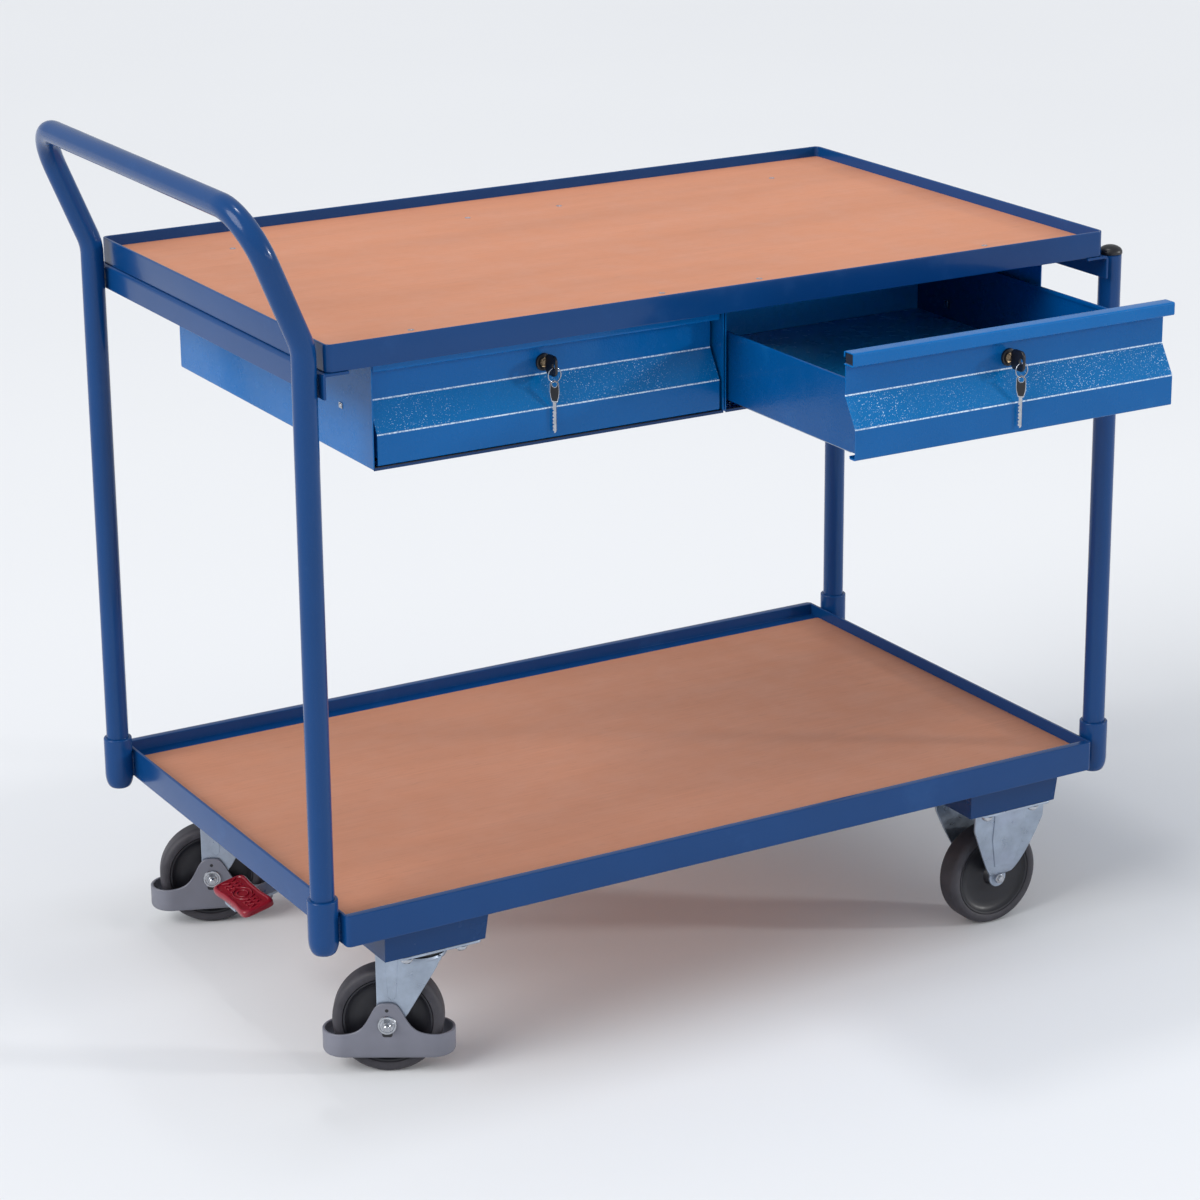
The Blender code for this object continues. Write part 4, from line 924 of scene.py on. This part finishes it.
def hanging_keys(side, axis):
    """A wire ring through the key's bow, and the spare key with its leaf-shaped bow."""
    body = f"keys_{side}"
    drop = -0.0014
    radius = 0.0079
    centre = axis @ Matrix.Translation((0, KEY_HOLE_OUT, drop - radius))
    bm = bmesh.new()
    section = [(radius + 0.0006 * math.cos(a), 0.0006 * math.sin(a)) for a in turns(30, 12)]
    add_lathe(bm, section, 64, centre @ along_y(0, 0, 0), ring=True)
    piece(f"wire_ring_{side}", bm, BRIGHT, body, [f"key_ring_{side}"])
    hole_at = Matrix.Translation((0, KEY_HOLE_OUT, drop - 2 * radius - 0.0023))
    hang = axis @ hole_at @ Matrix.Rotation(SPARE_KEY_YAW, 4, "Z")
    bow = arc((0.0, -0.0011), 0.0055, 20, 160, 10)
    bow += [(-0.0055, -0.0080), (-0.0052, -0.0120), (-0.0044, -0.0160), (-0.0030, -0.0200)]
    bow += [(0.0030, -0.0200), (0.0044, -0.0160), (0.0052, -0.0120), (0.0055, -0.0080)]
    hole = arc((0, 0), 0.0031, 0, 351, 39)
    bm = bmesh.new()
    ring_plate(bm, evenly(bow, (0.0, 0.0), 40), hole, 0.0016, hang)
    piece(f"spare_bow_rim_{side}", bm, BRIGHT, body, [f"spare_key_{side}"])
    inner = [(0.91 * a, 0.0004 + 0.94 * (b - 0.0004)) for a, b in bow]
    wide_hole = arc((0, 0), 0.0036, 0, 351, 39)
    bm = bmesh.new()
    ring_plate(bm, evenly(inner, (0.0, 0.0), 40), wide_hole, 0.0020, hang)
    piece(f"spare_bow_{side}", bm, BLACK, body, [f"spare_key_{side}"], 0.0003)
    teeth = 7
    foot = -0.0538
    step = (-0.0265 - foot) / teeth
    blade = [(-0.0016, -0.0195), (0.0020, -0.0195), (0.0020, -0.0255)]
    for i in range(teeth):
        top = -0.0265 - i * step
        deep = 0.0010 if i % 2 else 0.0017
        blade += [(0.0024, top), (0.0024, top - step * 0.35), (0.0024 - deep, top - step * 0.65)]
    blade += [(0.0010, foot), (-0.0004, foot), (-0.0016, foot + 0.0022)]
    bm = bmesh.new()
    add_prism(bm, blade, "X", -0.0008, 0.0008, hang)
    piece(f"spare_blade_{side}", bm, BRIGHT, body, [f"spare_key_{side}"])


# ---- Castors -----------------------------------------------------------------------
def joint(name):
    return next(j for j in frame["joints"] if j["name"] == name)


def hex_nut(bm, radius, start, end, place):
    """A nut with six flats and a chamfered outer face."""
    add_prism(bm, arc((0, 0), radius, 0, 300, 5), "Z", start, end - 0.0006, place)
    cone = [(0.0, end - 0.0010), (radius * 0.86, end - 0.0010), (radius * 0.74, end), (0.0, end)]
    add_lathe(bm, cone, 24, place)


def axle_hardware(bm, reach, place):
    """Washer, nut and bolt end on both sides of a wheel, about its axle along Y."""
    for sign in (-1, 1):
        turn = place @ Matrix.Rotation(math.radians(-90 * sign), 4, "X")
        washer = [(0.0, reach), (0.0108, reach), (0.0111, reach + 0.0005), (0.0104, reach + 0.0016)]
        washer += [(0.0084, reach + 0.0018), (0.0078, reach + 0.0013), (0.0, reach + 0.0013)]
        add_lathe(bm, washer, 48, turn)
        hex_nut(bm, 0.0061, reach + 0.0012, reach + 0.0068, turn)
        tip = [(0.0, reach + 0.0060), (0.0034, reach + 0.0060), (0.0034, reach + 0.0088)]
        tip += [(0.0026, reach + 0.0095), (0.0, reach + 0.0095)]
        add_lathe(bm, tip, 24, turn)


def wheel(name, body, place):
    """A grey tyre with a rounded tread on a dished dark disc."""
    half = WHEEL_HALF
    tread = [(0.0503, -half + 0.0030), (0.0512, -half + 0.0012), (0.0530, -half + 0.0003), (0.0560, -half)]
    shoulder = WHEEL_RADIUS - 0.0062
    tread += [
        (shoulder + 0.0062 * math.sin(a), -half + 0.0080 * (1 - math.cos(a))) for a in turns(10, 10, 1)
    ]
    tread += [(radius, -height) for radius, height in reversed(tread)]
    bm = bmesh.new()
    turned = place @ along_y(0, 0, 0)
    add_lathe(bm, tread, 96, turned, ring=True)
    piece(f"tyre_ring_{name}", bm, TYRE, body, [f"tyre_{name}"])
    disc = [
        (0.0048, -0.0180), (0.0080, -0.0180), (0.0092, -0.0174), (0.0112, -0.0150), (0.0135, -0.0105),
        (0.0170, -0.0088), (0.0250, -0.0082), (0.0360, -0.0084), (0.0425, -0.0092), (0.0460, -0.0112),
        (0.0480, -0.0136), (0.0500, -0.0142),
    ]
    disc += [(radius, -height) for radius, height in reversed(disc)]
    bm = bmesh.new()
    add_lathe(bm, disc, 96, turned, ring=True)
    piece(f"hub_disc_{name}", bm, HUB, body, [f"wheel_hub_{name}"])


def plate(bm, place):
    low, high = (-0.0515, -0.058), (0.0515, 0.058)
    add_prism(bm, rounded_rectangle(low, high, 0.008), "Z", CASTOR_HEIGHT - 0.003, CASTOR_HEIGHT, place)


def plate_bolts(name, place):
    """Hexagon heads with washers under each corner of a castor's plate."""
    bm = bmesh.new()
    top = CASTOR_HEIGHT - 0.0031
    for x in (-0.040, 0.027):
        for y in (-0.0505, 0.0505):
            spot = place @ Matrix.Translation((x, y, 0))
            washer = [(0.0, top), (0.0080, top), (0.0080, top - 0.0012), (0.0, top - 0.0012)]
            add_lathe(bm, washer, 32, spot)
            head = [(0.0, top - 0.0012), (0.0064, top - 0.0012), (0.0064, top - 0.0040)]
            head += [(0.0050, top - 0.0056), (0.0, top - 0.0060)]
            add_lathe(bm, head, 32, spot)
    piece(f"plate_bolts_{name}", bm, BRIGHT, "root")


def castor_head(name, place):
    """The plate, its bolts, and the black seal round the upper ball race."""
    bm = bmesh.new()
    plate(bm, place)
    pin = [(0.0, 0.1440), (0.0078, 0.1440), (0.0090, 0.1452), (0.0090, 0.1475), (0.0060, 0.1477)]
    pin += [(0.0060, CROWN_TOP + 0.0006), (0.0, CROWN_TOP + 0.0006)]
    add_lathe(bm, pin, 48, place)
    piece(f"castor_plate_{name}", bm, ZINC, "root", [f"castor_head_{name}"], 0.0005)
    bm = bmesh.new()
    race = [(0.0, CROWN_TOP + 0.0003), (0.0296, CROWN_TOP + 0.0003), (0.0304, CROWN_TOP + 0.0012)]
    race += [(0.0296, CROWN_TOP + 0.0036), (0.0272, CASTOR_HEIGHT - 0.0050)]
    race += [(0.0268, CASTOR_HEIGHT - 0.0031), (0.0, CASTOR_HEIGHT - 0.0031)]
    add_lathe(bm, race, 64, place)
    piece(f"race_seal_{name}", bm, BLACK, "root", [f"castor_head_{name}"])
    plate_bolts(name, place)


def swivel_fork(name, body, place):
    """Two pressed legs under a round crown, drawn in the castor's turned frame."""
    boss = 0.0115
    outline = [(-TRAIL - boss, CROWN_LOW)]
    outline += arc((-TRAIL, WHEEL_RADIUS), boss, 180, 335, 16)
    outline += [(-0.011, 0.075), (0.004, 0.101), (0.0215, 0.131), (0.0235, 0.1365)]
    outline += [(0.0265, 0.1405), (0.0265, DISC_TOP), (-0.004, DISC_TOP), (-0.016, CROWN_LOW)]
    bm = bmesh.new()
    add_pair(bm, outline, "Y", FORK_INNER, FORK_OUTER, place)
    crown = [(-TRAIL - boss, -FORK_OUTER), (-0.016, -FORK_OUTER)]
    crown += [(-0.016, FORK_OUTER), (-TRAIL - boss, FORK_OUTER)]
    add_prism(bm, crown, "Z", CROWN_LOW - 0.0002, CROWN_TOP, place)
    piece(f"fork_legs_{name}", bm, ZINC, body, [f"castor_fork_{name}"], 0.0008)
    bm = bmesh.new()
    dish = [(0.0065, DISC_LOW), (0.0240, DISC_LOW), (0.0285, DISC_LOW - 0.0022), (0.0312, DISC_LOW - 0.0016)]
    dish += [(CROWN_RADIUS, DISC_LOW + 0.0006), (0.0312, DISC_TOP), (0.0065, DISC_TOP)]
    add_lathe(bm, dish, 72, place, ring=True)
    piece(f"fork_crown_{name}", bm, ZINC, body, [f"castor_fork_{name}"])
    bm = bmesh.new()
    seal = [(0.0065, DISC_TOP), (0.0285, DISC_TOP), (0.0294, DISC_TOP + 0.0012), (0.0288, CROWN_TOP - 0.0016)]
    seal += [(0.0270, CROWN_TOP), (0.0065, CROWN_TOP)]
    add_lathe(bm, seal, 72, place, ring=True)
    piece(f"fork_seal_{name}", bm, BLACK, body, [f"castor_fork_{name}"])
    bm = bmesh.new()
    rib = [(-0.0335, 0.094), (-0.0290, 0.0905), (-0.0245, 0.094), (-0.0215, 0.141), (-0.0365, 0.141)]
    add_pair(bm, rib, "Y", FORK_OUTER - 0.0006, FORK_OUTER + 0.0005, place)
    piece(f"fork_pressings_{name}", bm, ZINC, body, [f"castor_fork_{name}"], 0.0005)


def guard_height(x):
    fall = 1 + (abs(x) / GUARD_HUMP_WIDTH) ** GUARD_HUMP_POWER
    return GUARD_BAND_TOP + (GUARD_HUMP_TOP - GUARD_BAND_TOP) / fall


def guard_plan(inset):
    radius = GUARD_HALF_WIDTH
    straight = GUARD_HALF_LENGTH - radius
    steps = 64
    run = [straight - 2 * straight * i / steps for i in range(steps)]
    plan = [(x, radius - inset) for x in run]
    plan += arc((-straight, 0), radius - inset, 90, 270, 32)
    plan += [(-x, -(radius - inset)) for x in run[1:]]
    return plan + arc((straight, 0), radius - inset, -90, 87, 31)


def guard(name, body, place):
    """The foot guard: an oval band that rises in a bell over each side of the axle."""
    ease = 0.0008
    levels = [(0.0027 * (1 - math.sin(a)), 0, 0.0045 * (1 - math.cos(a))) for a in turns(22.5, 5)]
    levels += [(0.0, 1, -ease), (ease, 1, 0.0), (GUARD_WALL - ease, 1, 0.0), (GUARD_WALL, 1, -ease)]
    levels += [(GUARD_WALL, 0, ease), (GUARD_WALL - 0.0005, 0, 0.0)]
    plans = [guard_plan(inset) for inset, _, _ in levels]
    bm = bmesh.new()
    stations = []
    for i, (x, _) in enumerate(guard_plan(0.0)):
        base = (GUARD_LOW, guard_height(x))
        ring = []
        for plan, (_, at_top, lift) in zip(plans, levels):
            ring.append(bm.verts.new(place @ Vector((plan[i][0] - TRAIL, plan[i][1], base[at_top] + lift))))
        stations.append(ring)
    add_skin(bm, stations, closed=True)
    piece(f"foot_guard_{name}", bm, GUARD, body, [f"castor_guard_{name}"])
    # Thin black patches on both faces stand for the shade in a small hole above the axle and a slot below it:
    # painted shade.
    bm = bmesh.new()
    slot_low, slot_high, slot_half = WHEEL_RADIUS - 0.0145, WHEEL_RADIUS - 0.0080, 0.0058
    slot_shape = [(-TRAIL + slot_half, slot_high), (-TRAIL - slot_half, slot_high)]
    slot_shape += arc((-TRAIL - slot_half + 0.003, slot_low + 0.003), 0.003, 180, 270, 6)
    slot_shape += arc((-TRAIL + slot_half - 0.003, slot_low + 0.003), 0.003, 270, 360, 6)
    for sign in (-1, 1):
        face = sign * GUARD_HALF_WIDTH
        near, far = sorted((face - sign * 0.0004, face + sign * 0.0001))
        add_prism(bm, arc((-TRAIL, WHEEL_RADIUS + 0.0175), 0.0020, 0, 345, 23), "Y", near, far, place)
        add_prism(bm, slot_shape, "Y", near, far, place)
    piece(f"guard_hole_shade_{name}", bm, BLACK, body)


def swivel_castor(end):
    name = f"{end}_left"
    body = f"castor_{name}"
    swivel = Vector(joint(f"castor_{name}_swivel")["pos_m"])
    wheel_at = Vector(joint(f"wheel_{name}_spin")["pos_m"])
    ahead = swivel - wheel_at
    yaw = math.atan2(ahead.y, ahead.x)
    root = Matrix.Translation((swivel.x, swivel.y, 0))
    turned = root @ Matrix.Rotation(yaw, 4, "Z")
    castor_head(name, root)
    swivel_fork(name, body, turned)
    guard(name, body, turned)
    hub_place = turned @ Matrix.Translation((-TRAIL, 0, WHEEL_RADIUS))
    bm = bmesh.new()
    axle_hardware(bm, GUARD_HALF_WIDTH + 0.0003, hub_place)
    rod = [(0.0, -0.0260), (0.0040, -0.0260), (0.0040, 0.0260), (0.0, 0.0260)]
    add_lathe(bm, rod, 24, hub_place @ along_y(0, 0, 0))
    piece(f"axle_bolt_{name}", bm, BRIGHT, body, [f"castor_axle_{name}"])
    wheel(name, f"wheel_{name}", hub_place)


def leg_row(z):
    """Half the fixed leg's width at a height, and how far its outer face stands from the middle."""
    if z < WHEEL_RADIUS:
        return math.sqrt(max(0.0, LEG_BOSS**2 - (WHEEL_RADIUS - z) ** 2)), FORK_OUTER
    climb = min(1.0, max(0.0, (z - LEG_KNEE) / (LEG_SHOULDER - LEG_KNEE)))
    half = LEG_BOSS + (LEG_HALF - LEG_BOSS) * min(1.0, 1.14 * climb) ** 0.75
    return half, FORK_OUTER + (LEG_SPREAD - FORK_OUTER) * climb**LEG_SPREAD_POWER


def flared_strip(bm, heights, share, lift, sheet, sign, place):
    """A strip down a flared leg: part of its width, lifted off its outer face."""
    rows = []
    for z in heights:
        half, out = leg_row(z)
        half = share(half, z)
        outer, inner = out + lift, out + lift - sheet
        corners = ((-half, outer), (half, outer), (half, inner), (-half, inner))
        rows.append([bm.verts.new(place @ Vector((x, sign * y, z))) for x, y in corners])
    add_skin(bm, rows)


def fixed_castor(end):
    """A bracket of two flared legs with pressed panels, under a bolted plate."""
    name = f"{end}_right"
    centre = Vector(joint(f"wheel_{name}_spin")["pos_m"])
    root = Matrix.Translation((centre.x, centre.y, 0))
    sheet = FORK_OUTER - FORK_INNER
    heights = [WHEEL_RADIUS - LEG_BOSS * math.sin(math.radians(a)) for a in (84, 70, 56, 42, 28, 14, 0)]
    heights += [LEG_KNEE + (LEG_SHOULDER - LEG_KNEE) * i / 20 for i in range(21)] + [0.156, 0.1625]
    node = f"fixed_castor_bracket_{name}"
    bm = bmesh.new()
    plate(bm, root)
    for sign in (-1, 1):
        flared_strip(bm, heights, lambda half, z: half, 0.0, sheet, sign, root)
    piece(f"bracket_legs_{name}", bm, ZINC, "root", [node], 0.0006)
    bm = bmesh.new()
    panel = [0.082 + 0.0785 * i / 16 for i in range(17)]
    for sign in (-1, 1):
        flared_strip(bm, panel, lambda half, z: min(half * 0.52, 0.0225), 0.0013, 0.0019, sign, root)
    piece(f"bracket_pressings_{name}", bm, ZINC, "root", [node], 0.0006)
    hub_place = root @ Matrix.Translation((0, 0, WHEEL_RADIUS))
    bm = bmesh.new()
    for sign in (-1, 1):
        turn = hub_place @ Matrix.Rotation(math.radians(-90 * sign), 4, "X")
        hex_nut(bm, 0.0068, FORK_OUTER, FORK_OUTER + 0.0055, turn)
        tip = [(0.0, FORK_OUTER + 0.005), (0.0040, FORK_OUTER + 0.005), (0.0040, FORK_OUTER + 0.008)]
        tip += [(0.0032, FORK_OUTER + 0.0088), (0.0, FORK_OUTER + 0.0088)]
        add_lathe(bm, tip, 24, turn)
    rod = [(0.0, -FORK_OUTER), (0.0040, -FORK_OUTER), (0.0040, FORK_OUTER), (0.0, FORK_OUTER)]
    add_lathe(bm, rod, 24, hub_place @ along_y(0, 0, 0))
    piece(f"fixed_axle_bolt_{name}", bm, BRIGHT, "root", [node])
    plate_bolts(name, root)
    wheel(name, f"wheel_{name}", hub_place)


# ---- Foot brake --------------------------------------------------------------------
def foot_brake():
    brake = joint("brake_pedal_press")
    pivot = Vector(brake["pos_m"])
    turned = Matrix.Translation(pivot) @ Matrix.Rotation(PEDAL_TILT, 4, "Y")
    low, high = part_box("brake_shaft")
    half = (high.y - low.y) / 2
    bm = bmesh.new()
    rod = [(0.0, -half), (0.0052, -half), (0.0060, -half + 0.0008)]
    rod += [(0.0060, half - 0.0008), (0.0052, half), (0.0, half)]
    add_lathe(bm, rod, 40, turned @ along_y(0, 0, 0))
    piece("brake_cross_shaft", bm, ZINC, "brake", ["brake_shaft"])
    bm = bmesh.new()
    add_box(bm, (-0.117, -0.0135, -0.002), (-0.003, 0.0135, 0.002), turned)
    piece("brake_lever", bm, ZINC, "brake", ["brake_shaft"], 0.0006)
    pedal(turned)
    dress("brake_bracket_front", ZINC, 0.0004)
    dress("brake_bracket_rear", ZINC, 0.0004)


def pedal_outline(middle, reach, half, waist, shrink):
    """A waisted rectangle with rounded corners, drawn in by shrink all round."""
    outline = []
    for x, y in arc((0, 0), 1, 1.875, 358.125, 95):
        along = math.copysign(abs(x) ** (1 / 3), x)
        across = math.copysign(abs(y) ** (1 / 3), y)
        width = reach - waist * (1 - across**2) - shrink
        outline.append((middle + along * width, across * (half - shrink)))
    return outline


def pedal(turned):
    """A waisted pad with a raised border, an oval and cross ribs for grip."""
    near, far, half, waist = 0.075, 0.121, 0.045, 0.0045
    middle = -(near + far) / 2
    reach = (far - near) / 2
    base = 0.0023
    levels = (
        (0.0004, base), (0.0, base + 0.0010), (0.0, base + 0.0052), (0.0008, base + 0.0068),
        (0.0022, base + 0.0077), (0.0040, base + 0.0077), (0.0050, base + 0.0064),
    )
    bm = bmesh.new()
    rows = []
    for shrink, z in levels:
        points = pedal_outline(middle, reach, half, waist, shrink)
        rows.append([bm.verts.new(turned @ Vector((x, y, z))) for x, y in points])
    add_skin(bm, rows)
    piece("pedal_pad", bm, PEDAL, "brake", ["brake_pedal"])
    bm = bmesh.new()
    floor, top = base + 0.0058, base + 0.0077
    for size in (0.0145, 0.0085):
        ring = [
            (size + 0.0010 * math.cos(a), top - 0.0010 + 0.0010 * math.sin(a)) for a in turns(45, 8)
        ]
        oval = turned @ Matrix.Translation((middle, 0, 0)) @ Matrix.Diagonal((0.72, 1.0, 1.0, 1.0))
        add_lathe(bm, ring, 48, oval, ring=True)
    for y in (-0.034, -0.0255, -0.018, 0.018, 0.0255, 0.034):
        for lean in (-32, 32):
            spin = Matrix.Rotation(math.radians(lean), 4, "Z")
            place = turned @ Matrix.Translation((middle, y, 0)) @ spin
            add_box(bm, (-0.0105, -0.0010, floor), (0.0105, 0.0010, top), place)
    piece("pedal_ribs", bm, PEDAL, "brake", ["brake_pedal"], 0.0005)


# ---- Carriers ----------------------------------------------------------------------
def carriers():
    for side in ("left", "right"):
        # The carriers take the darker blue copy as painted shade.
        dress(f"castor_channel_{side}", SHADE_BLUE, 0.0016)


# ---- Camera, light and floor -------------------------------------------------------
def camera():
    data = bpy.data.cameras.new("camera")
    data.lens = 103.45
    data.sensor_width = 36.0
    data.shift_y = -0.075
    data.clip_end = 100.0
    made = bpy.data.objects.new("camera", data)
    bpy.context.scene.collection.objects.link(made)
    right = Vector((0.864333, -0.502851, -0.008303))
    up = Vector((0.155886, 0.252178, 0.955042))
    turn = Matrix((right, up, right.cross(up))).transposed().to_4x4()
    made.matrix_world = Matrix.Translation((-1.932804, -3.270930, 1.737900)) @ turn
    bpy.context.scene.camera = made


def area_light(name, place, target, size, power, colour=(1, 1, 1)):
    data = bpy.data.lights.new(name, "AREA")
    data.shape = "RECTANGLE"
    data.size, data.size_y = size
    data.energy = power
    data.color = colour
    made = bpy.data.objects.new(name, data)
    bpy.context.scene.collection.objects.link(made)
    made.location = place
    made.rotation_mode = "QUATERNION"
    made.rotation_quaternion = (Vector(target) - Vector(place)).to_track_quat("-Z", "Y")


def sun_light(name, toward, strength, angle):
    data = bpy.data.lights.new(name, "SUN")
    data.energy = strength
    data.angle = math.radians(angle)
    data.color = (1.0, 0.99, 0.97)
    made = bpy.data.objects.new(name, data)
    bpy.context.scene.collection.objects.link(made)
    made.rotation_mode = "QUATERNION"
    made.rotation_quaternion = Vector(toward).to_track_quat("Z", "Y")


def studio():
    sun_light("left_sun", (-0.83, -0.05, 0.55), 2.3, 40)
    sun_light("front_sun", (0.80, -0.55, 0.25), 0.95, 5)
    area_light("glint_strip", (1.7, -3.7, 1.46), (0.1, -0.2, 0.75), (3.0, 0.12), 9, (0.97, 0.98, 1.0))
    area_light("handle_softbox", (-0.4, 0.1, 4.2), (0, 0, 0.6), (0.45, 0.45), 22)
    world = bpy.data.worlds.new("studio")
    world.use_nodes = True
    sky = world.node_tree.nodes["Background"]
    sky.inputs["Color"].default_value = (0.92, 0.955, 1.0, 1.0)
    sky.inputs["Strength"].default_value = 0.59
    bpy.context.scene.world = world
    bpy.context.scene.view_settings.view_transform = "Standard"
    bm = bmesh.new()
    reach = 45.0
    corners = ((-reach, -reach), (reach, -reach), (reach, reach), (-reach, reach))
    bm.faces.new([bm.verts.new((x, y, 0.0)) for x, y in corners])
    mesh = bpy.data.meshes.new("floor")
    bm.to_mesh(mesh)
    bm.free()
    mesh.materials.append(pale_floor("pale_floor"))
    floor = bpy.data.objects.new("floor", mesh)
    bpy.context.scene.collection.objects.link(floor)


camera()
studio()
lower_tray()
upper_tray()
board_screws()
handle()
far_posts()
cross_rails()
carriers()
for drawer_side in ("left", "right"):
    housing(drawer_side)
    drawer(drawer_side)
for castor_end in ("front", "rear"):
    swivel_castor(castor_end)
    fixed_castor(castor_end)
foot_brake()
